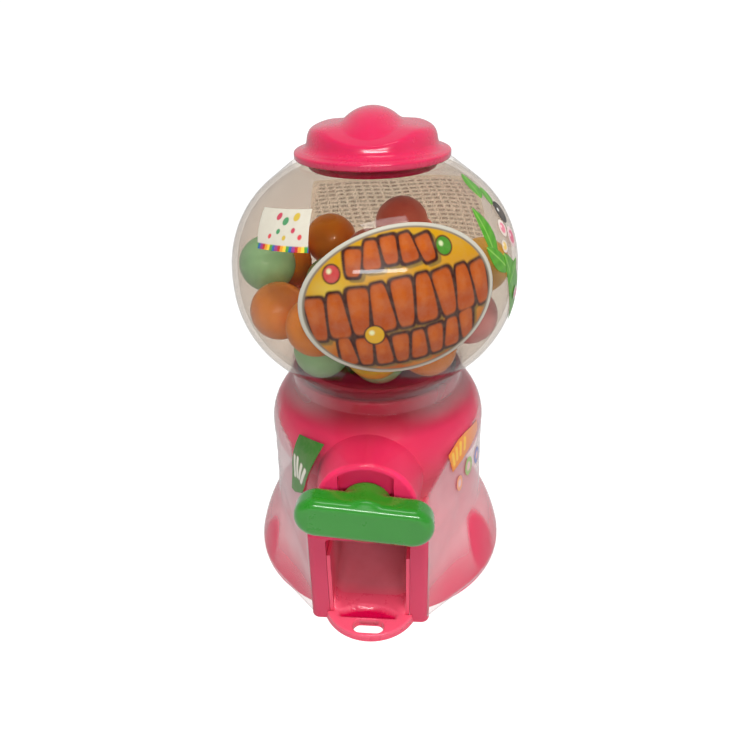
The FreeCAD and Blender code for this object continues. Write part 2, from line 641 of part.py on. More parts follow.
# ---- bottom plate with the hang-tab lip ------------------------------------
plate = new_body("base_plate")
sk = new_sketch(plate, "PlatePlan", "XY_Plane")
pr, tw = d("plate_radius"), d("tongue_half_width")
notch = -math.sqrt(pr.v ** 2 - tw.v ** 2)
lip_half = math.sqrt(VALUE["lip_arc"] ** 2 - (VALUE["lip_back"] - VALUE["lip_centre"]) ** 2)
outline(sk, [
    (tw, notch), (pr, 0), (0, pr), (-pr, 0), (-tw, notch), (-tw, -d("lip_back")),
    (-lip_half, -d("lip_back")), (lip_half, -d("lip_back")), (tw, -d("lip_back"))],
    {0: (pr, 1), 1: (pr, 1), 2: (pr, 1), 3: (pr, 1), 6: (d("lip_arc"), 1)})
plate_pad = pad(plate, sk, "Plate", d("plate_thick"))
round_edges(plate, plate_pad, "LipRound", q(0.6),
            lambda b: abs(b.ZMin - plate_z) < 1e-4 and abs(b.ZMax - plate_z) < 1e-4
            and b.YMin < -40 and b.XMax - b.XMin > 15)
sk = new_sketch(plate, "SlotPlan", "XY_Plane", lift=Q(3, "3"))
slot(sk, 0, -d("slot_centre"), d("slot_half_length"), d("slot_half_width"))
pocket(plate, sk, "HangSlot", Q(4, "4"))
# shallow scoop behind the slot
sk = new_sketch(plate, "ScoopPlan", "XY_Plane", lift=Q(3, "3"))
outline(sk, [(-7.2, -37.4), (7.2, -37.4)], {0: (Q(22, "22"), 1), 1: (Q(10.2, "10.2"), 1)})
pocket(plate, sk, "Scoop", q(3) - d("plate_thick") + 1.15)
# screw holes, counterbored from below
BEARING_SCREWS = [(-4.4, 18.6), (4.4, 18.6)]


def screw_places():
    out = []
    for a in POST_AT:
        out.append((d("post_circle") * math.cos(math.radians(a)),
                    d("post_circle") * math.sin(math.radians(a))))
    for x, y in BEARING_SCREWS:
        out.append((q(x), q(y)))
    return out


sk = new_sketch(plate, "ScrewHolePlan", "XY_Plane", lift=Q(3, "3"))
for x, y in screw_places():
    circle(sk, x, y, d("screw_hole_radius"))
pocket(plate, sk, "ScrewHoles", Q(4, "4"))
sk = new_sketch(plate, "CounterborePlan", "XY_Plane", lift=d("counterbore_depth"))
for x, y in screw_places():
    circle(sk, x, y, d("counterbore_radius"))
pocket(plate, sk, "Counterbores", Q(3, "3"))

# ---- chute: U-shaped ramp under the drum ------------------------------------
chute = new_body("ball_chute")
sk = new_sketch(chute, "ChutePlan", "XY_Plane", lift=d("plate_thick"))
cw = d("chute_half_width")
rect(sk, -cw, -d("chute_front"), cw, d("chute_back"))
pad(chute, sk, "ChuteBlock", d("chute_high") - d("plate_thick"))
sk = new_sketch(chute, "ChannelSide", "YZ_Plane", lift=-(cw - d("chute_wall")))
outline(sk, [
    (-(d("chute_front") + 1.0), d("ramp_low")), (d("chute_back") - d("chute_wall") - 3.5, d("ramp_high")),
    (d("chute_back") - d("chute_wall"), d("ramp_high") + 3.5),
    (d("chute_back") - d("chute_wall"), d("chute_high") + 1.0),
    (-(d("chute_front") + 1.0), d("chute_high") + 1.0)],
    {1: (Q(4.6, "4.6"), 1)})
pocket(chute, sk, "ChuteChannel", (cw - d("chute_wall")) * 2.0, reverse=True)
# rounded banks where the ramp meets the side walls
channel_x = VALUE["chute_half_width"] - VALUE["chute_wall"]
round_edges(chute, chute.Tip, "ChuteBanks", d("chute_round"),
            lambda b: abs(b.XMax - b.XMin) < 1e-4 and abs(abs(b.XMax) - channel_x) < 1e-4
            and b.YMax - b.YMin > 20 and abs(b.ZMin - VALUE["ramp_low"]) < 1.0)
# hollow underside, the ramp is a plate 1.2 thick
sk = new_sketch(chute, "UnderSide", "YZ_Plane", lift=-(cw - d("chute_wall")))
slope = (VALUE["ramp_high"] - VALUE["ramp_low"]) / (VALUE["chute_back"] - VALUE["chute_wall"] - 3.5
                                                    + VALUE["chute_front"] + 1.0)
y_thin = -VALUE["chute_front"] - 1.0 + (VALUE["plate_thick"] + 1.6 - VALUE["ramp_low"]) / slope
outline(sk, [(y_thin, d("plate_thick") - 1.0), (d("chute_back") - d("chute_wall"), d("plate_thick") - 1.0),
             (d("chute_back") - d("chute_wall"), d("ramp_high") - 1.2 + 0.5),
             (y_thin, d("plate_thick") + 0.4)])
pocket(chute, sk, "ChuteUnderside", (cw - d("chute_wall")) * 2.0, reverse=True)

# ---- drum, modelled about its own axis and placed at the axle height, turned
# with the handle by its resting angle ------------------------------------------
drum = new_body("dispensing_drum")
sk = new_sketch(drum, "DrumSection", "YZ_Plane")
dl = d("drum_half_length")
outline(sk, [
    (-d("drum_hub_end"), 0), (-d("drum_hub_end"), d("drum_hub_radius")), (-dl, d("drum_hub_radius")),
    (-dl, d("drum_radius") - 0.6), (q(0.6) - dl, d("drum_radius")), (dl - 0.6, d("drum_radius")),
    (dl, d("drum_radius") - 0.6), (dl, d("trunnion_radius") + 2.0),
    (dl + 2.2, d("trunnion_radius") + 2.0), (dl + 2.2, d("trunnion_radius")),
    (d("trunnion_end"), d("trunnion_radius")), (d("trunnion_end"), 0)],
    {3: (Q(0.6, "0.6"), -1), 5: (Q(0.6, "0.6"), -1)})
revolve(drum, sk, "DrumTurned", "H_Axis")
sk = new_sketch(drum, "PocketPlan", "XY_Plane", lift=-d("pocket_floor"))
circle(sk, 0, 0, d("pocket_radius"))
pocket(drum, sk, "BallPocket", Q(20, "20"))
sk = new_sketch(drum, "SocketOutline", "XZ_Plane", lift=Q(20, "20"))
ts = d("tang_half") + 0.05
rect(sk, -ts, -ts, ts, ts)
pocket(drum, sk, "DriveSocket", q(20) - 9.6)
sk = new_sketch(drum, "PinHolePlan", "XY_Plane", lift=Q(-10, "(-10)"))
circle(sk, 0, -d("pin_plane"), d("pin_radius"))
pocket(drum, sk, "PinHole", Q(20, "20"), reverse=True)
TURN = FreeCAD.Rotation(V(0, 1, 0), VALUE["rest_turn"])
drum.Placement = FreeCAD.Placement(V(0, 0, VALUE["axle_height"]), TURN)
drum.setExpression("Placement.Base.z", "Spec.axle_height")
drum.setExpression("Placement.Rotation.Angle", "Spec.rest_turn")

# ---- handle: pill-shaped bar, hub, stem and square tang in one moulding -------
handle = new_body("turn_handle")
sk = new_sketch(handle, "BarOutline", "XZ_Plane", lift=d("bar_back"))
slot(sk, 0, 0, d("bar_half_length"), d("bar_half_height"))
bar = pad(handle, sk, "Bar", d("bar_front") - d("bar_back"))
bf, bb = VALUE["bar_front"], VALUE["bar_back"]
bar_soft = round_edges(handle, bar, "BarFrontRound", d("bar_round"),
                       lambda b: abs(b.YMin + bf) < 1e-4 and abs(b.YMax + bf) < 1e-4)
bar_soft = round_edges(handle, bar_soft, "BarBackRound", d("bar_round") * 0.6,
                       lambda b: abs(b.YMin + bb) < 1e-4 and abs(b.YMax + bb) < 1e-4)
sk = new_sketch(handle, "HubSection", "YZ_Plane")
outline(sk, [
    (-d("hub_front"), 0), (-d("hub_front"), d("hub_radius") - 1.0),
    (q(1.0) - d("hub_front"), d("hub_radius")), (-d("hub_back"), d("hub_radius")),
    (-d("hub_back"), d("stem_radius")), (-d("stem_end"), d("stem_radius")), (-d("stem_end"), 0)],
    {1: (Q(1.0, "1.0"), -1)})
revolve(handle, sk, "HubAndStem", "H_Axis")
sk = new_sketch(handle, "TangOutline", "XZ_Plane", lift=d("tang_end"))
th = d("tang_half")
rect(sk, -th, -th, th, th)
pad(handle, sk, "Tang", d("stem_end") - d("tang_end") + 0.5)
sk = new_sketch(handle, "TangPinHole", "XY_Plane", lift=Q(-10, "(-10)"))
circle(sk, 0, -d("pin_plane"), d("pin_radius"))
pocket(handle, sk, "PinThroughTang", Q(20, "20"), reverse=True)
handle.Placement = FreeCAD.Placement(V(0, 0, VALUE["axle_height"]), TURN)
handle.setExpression("Placement.Base.z", "Spec.axle_height")
handle.setExpression("Placement.Rotation.Angle", "Spec.rest_turn")

# ---- drive pin through drum hub and tang ---------------------------------------
pin = doc.addObject("Part::Cylinder", "DrivePin")
pin.Label = "drive_pin"
pin.Radius = VALUE["pin_radius"]
pin.setExpression("Radius", "Spec.pin_radius")
pin.Height = 2 * VALUE["pin_half_length"]
pin.setExpression("Height", "2 * Spec.pin_half_length")
pin.Placement = FreeCAD.Placement(V(0, 0, VALUE["axle_height"]), TURN).multiply(FreeCAD.Placement(
    V(0, -VALUE["pin_plane"], -VALUE["pin_half_length"]), FreeCAD.Rotation()))
pin.setExpression("Placement.Base.x", "0 - Spec.pin_half_length * sin(Spec.rest_turn * 1 deg)")
pin.setExpression("Placement.Base.y", "0 - Spec.pin_plane")
pin.setExpression("Placement.Base.z",
                  "Spec.axle_height - Spec.pin_half_length * cos(Spec.rest_turn * 1 deg)")

# ---- rear bearing post ------------------------------------------------------------
bearing = new_body("rear_bearing_post")
sk = new_sketch(bearing, "PostOutline", "XZ_Plane", lift=-d("bearing_front"))
bw = d("bearing_half_width")
outline(sk, [(bw, d("plate_thick")), (bw, d("axle_height")), (0, d("axle_height") + bw),
             (-bw, d("axle_height")), (-bw, d("plate_thick"))],
        {1: (bw, 1), 2: (bw, 1)})
pad(bearing, sk, "PostPlate", d("bearing_thick"), reverse=True)
sk = new_sketch(bearing, "FootPlan", "XY_Plane", lift=d("plate_thick"))
rect(sk, -bw, d("bearing_front"), bw, d("bearing_foot"))
pad(bearing, sk, "Foot", Q(6, "6"))
# gusset between post and foot
sk = new_sketch(bearing, "GussetSide", "YZ_Plane", lift=Q(-1.0, "(-1.0)"))
outline(sk, [(d("bearing_front") + 1.0, d("plate_thick") + 1.0), (d("bearing_foot"), d("plate_thick") + 5.0),
             (d("bearing_front") + 1.0, 28)])
pad(bearing, sk, "Gusset", Q(2, "2"))
sk = new_sketch(bearing, "TrunnionBore", "XZ_Plane", rise=d("axle_height"))
circle(sk, 0, 0, d("trunnion_radius") + d("stem_fit"))
pocket(bearing, sk, "BearingBore", Q(20, "20"))
sk = new_sketch(bearing, "FootPilots", "XY_Plane", lift=d("plate_thick"))
for x, y in BEARING_SCREWS:
    circle(sk, x, y, d("screw_radius"))
pocket(bearing, sk, "FootPilotHoles", Q(5, "5"), reverse=True)

# ---- five identical pan-head screws, driven from below ------------------------------
screws = []
for k, (x, y) in enumerate(screw_places(), start=1):
    head = doc.addObject("Part::Cylinder", "ScrewHead%d" % k)
    head.Radius = VALUE["counterbore_radius"] - 0.4
    head.setExpression("Radius", "Spec.counterbore_radius - 0.4")
    head.Height = VALUE["counterbore_depth"] - 0.2
    head.setExpression("Height", "Spec.counterbore_depth - 0.2")
    head.Placement = FreeCAD.Placement(V(x.v, y.v, 0.2), FreeCAD.Rotation())
    shank = doc.addObject("Part::Cylinder", "ScrewShank%d" % k)
    shank.Radius = VALUE["screw_radius"]
    shank.setExpression("Radius", "Spec.screw_radius")
    shank.Height = 5.2
    shank.Placement = FreeCAD.Placement(V(x.v, y.v, VALUE["counterbore_depth"] - 0.1), FreeCAD.Rotation())
    whole = doc.addObject("Part::Fuse", "ScrewBlank%d" % k)
    whole.Base = head
    whole.Tool = shank
    kerf = doc.addObject("Part::Box", "ScrewSlot%d" % k)
    kerf.Length, kerf.Width, kerf.Height = 5.0, 0.5, 0.45
    kerf.Placement = FreeCAD.Placement(V(x.v - 2.5, y.v - 0.25, 0.1), FreeCAD.Rotation())
    screw = doc.addObject("Part::Cut", "Screw%d" % k)
    screw.Base = whole
    screw.Tool = kerf
    screws.append(screw)
screw_set = doc.addObject("Part::Compound", "BaseScrews")
screw_set.Links = screws
screw_set.Label = "base_screws"

# ---- shrink sleeve: clear film from the foot to under the brim -----------------------
sleeve = new_body("shrink_sleeve")
film = VALUE["sleeve_wall"]
gap = VALUE["sleeve_gap"]


def film_points(inset):
    """Sleeve section, upwards; inset 0 is its outside, sleeve_wall its inside."""
    off = film + gap - inset
    foot = VALUE["foot_radius"] + off
    skirt = VALUE["skirt_arc"] + off
    # from the skirt the film leaves the body and runs straight up to the chest
    z1 = 18.0
    leave = (K_skirt[0] + math.sqrt(skirt ** 2 - (z1 - K_skirt[1]) ** 2), z1)
    start = (foot, K_skirt[1] + math.sqrt(skirt ** 2 - (foot - K_skirt[0]) ** 2))
    chest = (VALUE["chest_radius"] + off, VALUE["chest_height"])
    high = VALUE["chest_high_arc"] + off
    neck = VALUE["collar_radius"] + off
    shoulder = (neck, K_chest_high[1] + math.sqrt(high ** 2 - (neck - K_chest_high[0]) ** 2))
    g = globe_points(inset, neck, 24.6)
    top = (18.75 - inset, 110.8)
    return foot, start, leave, chest, shoulder, neck, g, top


fo = film_points(0.0)
fi = film_points(film)
hem = 1.7
pts = [(fo[0], hem), fo[1], fo[2], fo[3], fo[4]] + fo[6] + [fo[7]]
n_out = len(pts)
back = [fi[7]] + fi[6][::-1] + [fi[4], fi[3], fi[2], fi[1], (fi[0], hem)]
arc_out = {1: (d("skirt_arc") + film_to_glass, 1), 3: (d("chest_high_arc") + film_to_glass, 1),
           5: (d("arc_c_radius"), 1), 6: (d("arc_b_radius"), 1), 7: (d("arc_a_radius"), 1),
           8: (d("arc_b_radius"), 1), 9: (d("arc_c_radius"), 1)}
arc_in = {n_out + 1: (d("arc_c_radius") - d("sleeve_wall"), -1),
          n_out + 2: (d("arc_b_radius") - d("sleeve_wall"), -1),
          n_out + 3: (d("arc_a_radius") - d("sleeve_wall"), -1),
          n_out + 4: (d("arc_b_radius") - d("sleeve_wall"), -1),
          n_out + 5: (d("arc_c_radius") - d("sleeve_wall"), -1),
          n_out + 7: (d("chest_high_arc") + d("sleeve_gap"), -1),
          n_out + 9: (d("skirt_arc") + d("sleeve_gap"), -1)}
arc_out.update(arc_in)
sk = new_sketch(sleeve, "SleeveSection", "XZ_Plane")
outline(sk, pts + back, arc_out)
revolve(sleeve, sk, "SleeveFilm")
# front window for the handle, its boss and the chute
sk = new_sketch(sleeve, "WindowOutline", "XZ_Plane", lift=Q(50, "50"))
ww = d("surround_half_width") + 0.4
wr = d("boss_root_radius") + 0.9
wz = d("surround_height") + 0.6
reach_x = math.sqrt(wr.v ** 2 - (wz.v - VALUE["axle_height"]) ** 2)
outline(sk, [(-ww, -1), (ww, -1), (ww, wz), (reach_x, wz),
             (wr, d("axle_height")), (0, d("axle_height") + wr), (-wr, d("axle_height")),
             (-reach_x, wz), (-ww, wz)],
        {3: (wr, 1), 4: (wr, 1), 5: (wr, 1), 6: (wr, 1)})
pocket(sleeve, sk, "FrontWindow", Q(40, "40"))

# ---- gumballs ---------------------------------------------------------------------------
# settled pile: the first one sits in the hopper's ball hole on top of the drum
BALLS = [
    (1.317, 0.473, 59.770),
    (-4.225, 11.830, 65.887),
    (1.579, -12.202, 65.804),
    (-17.607, 11.310, 70.106),
    (-12.091, -14.199, 68.308),
    (-11.452, -0.451, 65.533),
    (9.720, 9.664, 66.255),
    (-23.383, -1.191, 72.897),
    (1.544, -23.859, 73.629),
    (4.301, 21.625, 71.223),
    (12.969, -3.996, 66.211),
    (1.263, 0.145, 73.806),
    (-9.478, 22.121, 73.873),
    (17.200, 18.035, 75.448),
    (13.616, -17.158, 71.066),
    (-21.884, -14.034, 78.367),
    (21.885, 5.324, 71.759),
    (13.064, -23.258, 83.699),
    (-1.477, 12.398, 80.089),
    (-3.445, -11.953, 79.154),
    (-11.445, 2.540, 79.275),
    (23.499, -8.153, 75.349),
    (11.444, 6.528, 81.068),
    (-24.742, 9.797, 82.102),
    (8.736, 25.207, 84.054),
    (10.609, -7.581, 80.882),
    (-0.762, -1.085, 87.645),
    (26.603, 1.982, 84.556),
    (-11.487, -23.457, 78.846),
    (-26.376, -3.457, 86.434),
    (-13.295, 16.771, 86.281),
    (6.107, 13.810, 91.820),
    (-0.446, -22.839, 87.497),
]

balls = []
for k, (x, y, z) in enumerate(BALLS, start=1):
    ball = doc.addObject("Part::Sphere", "Gumball%02d" % k)
    ball.Label = "gumball_%02d" % k
    ball.Radius = VALUE["ball_radius"]
    ball.setExpression("Radius", "Spec.ball_radius")
    ball.Placement = FreeCAD.Placement(V(x, y, z), FreeCAD.Rotation())
    balls.append(ball)

# ---------------------------------------------------------------------------
# check every object, then write the sub-parts
# ---------------------------------------------------------------------------
doc.recompute()
doc.recompute()
for obj in doc.Objects:
    for state in obj.State:
        if "Invalid" in state or "Error" in state:
            raise RuntimeError("%s (%s): %s" % (obj.Name, obj.Label, obj.State))

NODES = [lid, globe, sleeve, housing, hopper, drum, handle, pin, bearing, chute, plate, screw_set] + balls
os.makedirs("parts", exist_ok=True)
for old in os.listdir("parts"):
    if old.endswith(".step"):
        os.remove(os.path.join("parts", old))
for obj in NODES:
    shape = obj.Shape
    if shape.isNull() or not shape.isValid():
        raise RuntimeError("%s has no valid shape" % obj.Label)
    box = shape.BoundBox
    print("%-18s solids %d vol %9.1f  x %.2f..%.2f y %.2f..%.2f z %.2f..%.2f" % (
        obj.Label, len(shape.Solids), shape.Volume, box.XMin, box.XMax, box.YMin, box.YMax,
        box.ZMin, box.ZMax))
for obj in NODES:
    obj.Shape.exportStep("parts/%s.step" % obj.Label)
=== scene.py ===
import json
import math

import bmesh
import bpy
import numpy as np
from mathutils import Matrix, Vector, noise


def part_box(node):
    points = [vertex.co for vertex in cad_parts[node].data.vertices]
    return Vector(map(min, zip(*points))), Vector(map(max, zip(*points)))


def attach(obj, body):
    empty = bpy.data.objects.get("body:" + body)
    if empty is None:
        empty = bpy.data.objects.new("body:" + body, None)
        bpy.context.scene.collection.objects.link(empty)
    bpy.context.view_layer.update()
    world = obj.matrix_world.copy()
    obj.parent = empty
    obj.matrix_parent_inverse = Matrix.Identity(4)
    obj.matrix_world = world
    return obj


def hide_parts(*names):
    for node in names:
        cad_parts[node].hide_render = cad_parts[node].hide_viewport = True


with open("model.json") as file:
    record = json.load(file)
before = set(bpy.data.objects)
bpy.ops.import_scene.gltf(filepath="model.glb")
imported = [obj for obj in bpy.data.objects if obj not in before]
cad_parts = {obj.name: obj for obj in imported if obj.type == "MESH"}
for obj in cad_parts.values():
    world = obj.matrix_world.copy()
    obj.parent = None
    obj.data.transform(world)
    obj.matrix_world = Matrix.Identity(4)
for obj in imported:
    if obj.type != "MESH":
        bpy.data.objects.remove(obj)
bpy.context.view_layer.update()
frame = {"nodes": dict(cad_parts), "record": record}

MM = 0.001
scene = bpy.context.scene


# ---------------------------------------------------------------------------
# node helpers
# ---------------------------------------------------------------------------
class Nodes:
    """A material's node tree with short calls for the nodes used here."""

    def __init__(self, name):
        self.mat = bpy.data.materials.new(name)
        self.mat.use_nodes = True
        self.tree = self.mat.node_tree
        self.tree.nodes.clear()
        self.out = self.tree.nodes.new("ShaderNodeOutputMaterial")

    def add(self, kind, **values):
        node = self.tree.nodes.new(kind)
        for key, value in values.items():
            setattr(node, key, value)
        return node

    def link(self, a, b):
        self.tree.links.new(a, b)

    def set(self, socket, value):
        if isinstance(value, bpy.types.NodeSocket):
            self.link(value, socket)
        elif isinstance(value, (tuple, list)) and len(value) == 3 and socket.type == "RGBA":
            socket.default_value = (*value, 1.0)
        else:
            socket.default_value = value

    def math(self, op, a, b=0.0, clamp=False):
        node = self.add("ShaderNodeMath", operation=op, use_clamp=clamp)
        self.set(node.inputs[0], a)
        self.set(node.inputs[1], b)
        return node.outputs[0]

    def object_coords(self):
        return self.add("ShaderNodeTexCoord").outputs["Object"]

    def noise(self, scale, detail=3.0, rough=0.5, vector=None, distortion=0.0):
        node = self.add("ShaderNodeTexNoise")
        node.inputs["Scale"].default_value = scale
        node.inputs["Detail"].default_value = detail
        node.inputs["Roughness"].default_value = rough
        node.inputs["Distortion"].default_value = distortion
        self.link(vector or self.object_coords(), node.inputs["Vector"])
        return node.outputs["Fac"]

    def remap(self, value, a, b, c, d):
        node = self.add("ShaderNodeMapRange")
        node.clamp = True
        self.set(node.inputs["Value"], value)
        for key, number in zip(("From Min", "From Max", "To Min", "To Max"), (a, b, c, d)):
            self.set(node.inputs[key], number)
        return node.outputs["Result"]

    def mix(self, factor, a, b, blend="MIX"):
        node = self.add("ShaderNodeMix", data_type="RGBA", blend_type=blend)
        self.set(node.inputs["Factor"], factor)
        self.set(node.inputs["A"], a)
        self.set(node.inputs["B"], b)
        for out in node.outputs:
            if out.type == "RGBA":
                return out

    def bump(self, height, strength, distance, normal=None):
        node = self.add("ShaderNodeBump")
        node.inputs["Strength"].default_value = strength
        node.inputs["Distance"].default_value = distance
        self.link(height, node.inputs["Height"])
        if normal is not None:
            self.link(normal, node.inputs["Normal"])
        return node.outputs["Normal"]

    def principled(self, **values):
        node = self.add("ShaderNodeBsdfPrincipled")
        for key, value in values.items():
            self.set(node.inputs[key.replace("_", " ")], value)
        return node

    def finish(self, shader):
        self.link(shader, self.out.inputs["Surface"])
        return self.mat


def srgb(r, g, b):
    """Linear colour from 0-255 display values."""
    out = []
    for v in (r, g, b):
        v = v / 255.0
        out.append(v / 12.92 if v <= 0.04045 else ((v + 0.055) / 1.055) ** 2.4)
    return tuple(out)


# ---------------------------------------------------------------------------
# materials
# ---------------------------------------------------------------------------
def moulded(name, colour, deep, rough=0.28, coat=0.35, scale=260.0, bump=0.03, sub=0.0, shine=0.5, shade=None):
    """Injection-moulded plastic: slow colour drift, fine flow marks in the
    gloss and a very light skin texture."""
    n = Nodes(name)
    drift = n.noise(60.0, 2.0)
    streak = n.noise(scale, 4.0, 0.6)
    tone = n.mix(n.remap(drift, 0.35, 0.7, 0.0, 0.35), colour, deep)
    tone = n.mix(n.remap(streak, 0.4, 0.75, 0.0, 0.12), tone, deep)
    if shade:
        # painted shade: a deeper red collar above the shoulder, where the globe overhead shades the housing
        parts = n.add("ShaderNodeSeparateXYZ")
        n.link(n.object_coords(), parts.inputs[0])
        tone = n.mix(n.remap(parts.outputs["Z"], shade[0], shade[1], 0.0, 0.72), tone, shade[2])
        # the porch front is duller than the rest
        porch = n.math("MULTIPLY", n.remap(parts.outputs["Y"], -0.0358, -0.0340, 0.8, 0.0),
                       n.remap(parts.outputs["Z"], 0.0270, 0.0290, 1.0, 0.0))
        tone = n.mix(porch, tone, srgb(196, 70, 96))
    roughness = n.remap(n.noise(140.0, 5.0, 0.65), 0.3, 0.75, rough - 0.07, rough + 0.09)
    normal = n.bump(n.noise(900.0, 3.0, 0.5), bump, 0.00012)
    normal = n.bump(n.noise(75.0, 2.0), 0.25, 0.00012, normal)
    p = n.principled(Base_Color=tone, Roughness=roughness, Normal=normal, Coat_Weight=coat,
                     Coat_Roughness=0.07, IOR=1.48, Specular_IOR_Level=shine)
    if sub:
        p.inputs["Subsurface Weight"].default_value = sub
        p.inputs["Subsurface Radius"].default_value = (1.0, 0.25, 0.2)
        p.inputs["Subsurface Scale"].default_value = 0.0015
    return n.finish(p.outputs[0])


def clear_shell(name, tint, gloss=1.0, rough=0.02, ripple=0.0, haze_attribute=None, haze_and_reflection_gain=1.0):
    """Clear plastic wall with two faces.  Each wall mirrors once, on the face the ray meets first, and every face takes
    its share of the tint.  The white veil is a thin white scatter painted where the film stands off what it covers; it
    is also a painted reflection of the pale room on the film."""
    n = Nodes(name)
    geo = n.add("ShaderNodeNewGeometry")
    front = n.math("SUBTRACT", 1.0, geo.outputs["Backfacing"])
    fres = n.add("ShaderNodeFresnel")
    ior = n.math("ADD", n.math("MULTIPLY", front, 1.45 - 1.0 / 1.45), 1.0 / 1.45)
    n.link(ior, fres.inputs["IOR"])
    normal = None
    if ripple:
        normal = n.bump(n.noise(90.0, 3.0, 0.5, distortion=0.6), ripple, 0.0004)
        n.link(normal, fres.inputs["Normal"])
    share = n.math("MULTIPLY", n.math("MULTIPLY", fres.outputs[0], 1.6 * gloss), front, clamp=True)
    clear = n.add("ShaderNodeBsdfTransparent")
    smudge = n.noise(45.0, 3.0, 0.6)
    n.set(clear.inputs["Color"], n.mix(n.remap(smudge, 0.35, 0.75, 0.0, 1.0), tint,
                                       tuple(0.985 * c for c in tint)))
    mirror = n.add("ShaderNodeBsdfGlossy")
    mirror.inputs["Color"].default_value = (1, 1, 1, 1)
    n.set(mirror.inputs["Roughness"], n.remap(n.noise(160.0, 4.0, 0.6), 0.3, 0.75, rough, rough + 0.05))
    if normal is not None:
        n.link(normal, mirror.inputs["Normal"])
    base = clear.outputs[0]
    # painted reflection: a white scatter mixed in by a per-point level; it stands for the pale room reflected in the
    # film as well as the veil where the film stands off
    if haze_attribute:
        attr = n.add("ShaderNodeAttribute", attribute_name=haze_attribute)
        white = n.add("ShaderNodeBsdfDiffuse")
        white.inputs["Color"].default_value = (0.86, 0.82, 0.82, 1)
        through = n.add("ShaderNodeBsdfTranslucent")
        through.inputs["Color"].default_value = (0.93, 0.90, 0.90, 1)
        both = n.add("ShaderNodeMixShader")
        both.inputs[0].default_value = 0.3
        n.link(white.outputs[0], both.inputs[1])
        n.link(through.outputs[0], both.inputs[2])
        level = n.math("MULTIPLY", attr.outputs["Fac"], haze_and_reflection_gain)
        level = n.math("MULTIPLY", level, n.remap(n.noise(38.0, 3.0, 0.55), 0.25, 0.75, 0.75, 1.2))
        level = n.math("MULTIPLY", level, front, clamp=True)
        haze_and_reflection_mix = n.add("ShaderNodeMixShader")
        n.link(level, haze_and_reflection_mix.inputs[0])
        n.link(base, haze_and_reflection_mix.inputs[1])
        n.link(both.outputs[0], haze_and_reflection_mix.inputs[2])
        base = haze_and_reflection_mix.outputs[0]
    both = n.add("ShaderNodeMixShader")
    n.link(share, both.inputs[0])
    n.link(base, both.inputs[1])
    n.link(mirror.outputs[0], both.inputs[2])
    return n.finish(both.outputs[0])


def candy(name, colour, deep, seed):
    """Sugar shell of a gumball: mottled colour, pale scuffs, waxy gloss."""
    n = Nodes(name)
    at = n.add("ShaderNodeMapping")
    n.link(n.object_coords(), at.inputs["Vector"])
    at.inputs["Location"].default_value = (seed * 0.37, seed * 0.11, seed * 0.23)
    v = at.outputs[0]
    mottle = n.noise(210.0, 5.0, 0.65, v)
    big = n.noise(70.0, 2.0, 0.5, v)
    tone = n.mix(n.remap(mottle, 0.35, 0.7, 0.0, 0.55), colour, deep)
    tone = n.mix(n.remap(big, 0.55, 0.8, 0.0, 0.5), tone, tuple(min(1.0, 0.90 * c + 0.045) for c in colour))
    normal = n.bump(mottle, 0.35, 0.0002)
    normal = n.bump(n.noise(60.0, 2.0, 0.5, v), 0.4, 0.0006, normal)
    p = n.principled(Base_Color=tone, Roughness=n.remap(big, 0.3, 0.7, 0.22, 0.42), Normal=normal,
                     Coat_Weight=0.3, Coat_Roughness=0.08, IOR=1.45, Specular_IOR_Level=0.3)
    return n.finish(p.outputs[0])


def metal(name):
    n = Nodes(name)
    lines = n.noise(700.0, 4.0, 0.6)
    p = n.principled(Base_Color=n.mix(n.noise(120.0), (0.62, 0.63, 0.66), (0.5, 0.51, 0.54)), Metallic=1.0,
                     Roughness=n.remap(lines, 0.3, 0.7, 0.22, 0.4), Normal=n.bump(lines, 0.15, 0.00005))
    return n.finish(p.outputs[0])


PINK = moulded("lid_pink", srgb(208, 38, 84), srgb(196, 26, 70), rough=0.24, coat=0.4, sub=0.12)
# the shell carries painted shade: a deep red band just below the neck stands in for the globe's shadow
SHELL = moulded("shell_pink", srgb(236, 48, 98), srgb(226, 34, 84), rough=0.42, coat=0.06, sub=0.12, shine=0.25,
                shade=(0.0500, 0.0545, srgb(150, 12, 26)))
LIP = moulded("lip_pink", srgb(232, 72, 104), srgb(226, 56, 92), rough=0.3, coat=0.25, sub=0.15)
INNER = moulded("inner_pink", srgb(190, 48, 80), srgb(168, 38, 66), rough=0.4, coat=0.1)
GREEN = moulded("handle_green", srgb(38, 134, 30), srgb(30, 118, 26), rough=0.3, coat=0.9, sub=0.1)
STEEL = metal("steel_fasteners")


def chute_plastic(name):
    """Pink at the mouth, duller and hazier towards the drum."""
    n = Nodes(name)
    parts = n.add("ShaderNodeSeparateXYZ")
    n.link(n.object_coords(), parts.inputs[0])
    wander = n.math("MULTIPLY", n.noise(90.0, 2.0), 0.003)
    depth = n.remap(n.math("ADD", parts.outputs["Y"], wander), -0.0310, -0.0262, 0.0, 1.0)
    base = n.mix(depth, srgb(232, 76, 106), srgb(228, 122, 136))
    base = n.mix(n.remap(n.noise(240.0, 4.0, 0.6), 0.4, 0.75, 0.0, 0.14), base, srgb(196, 60, 84))
    p = n.principled(Base_Color=base, Roughness=n.remap(n.noise(150.0, 4.0), 0.3, 0.7, 0.34, 0.5),
                     Normal=n.bump(n.noise(700.0, 3.0), 0.05, 0.0001), Coat_Weight=0.15)
    return n.finish(p.outputs[0])


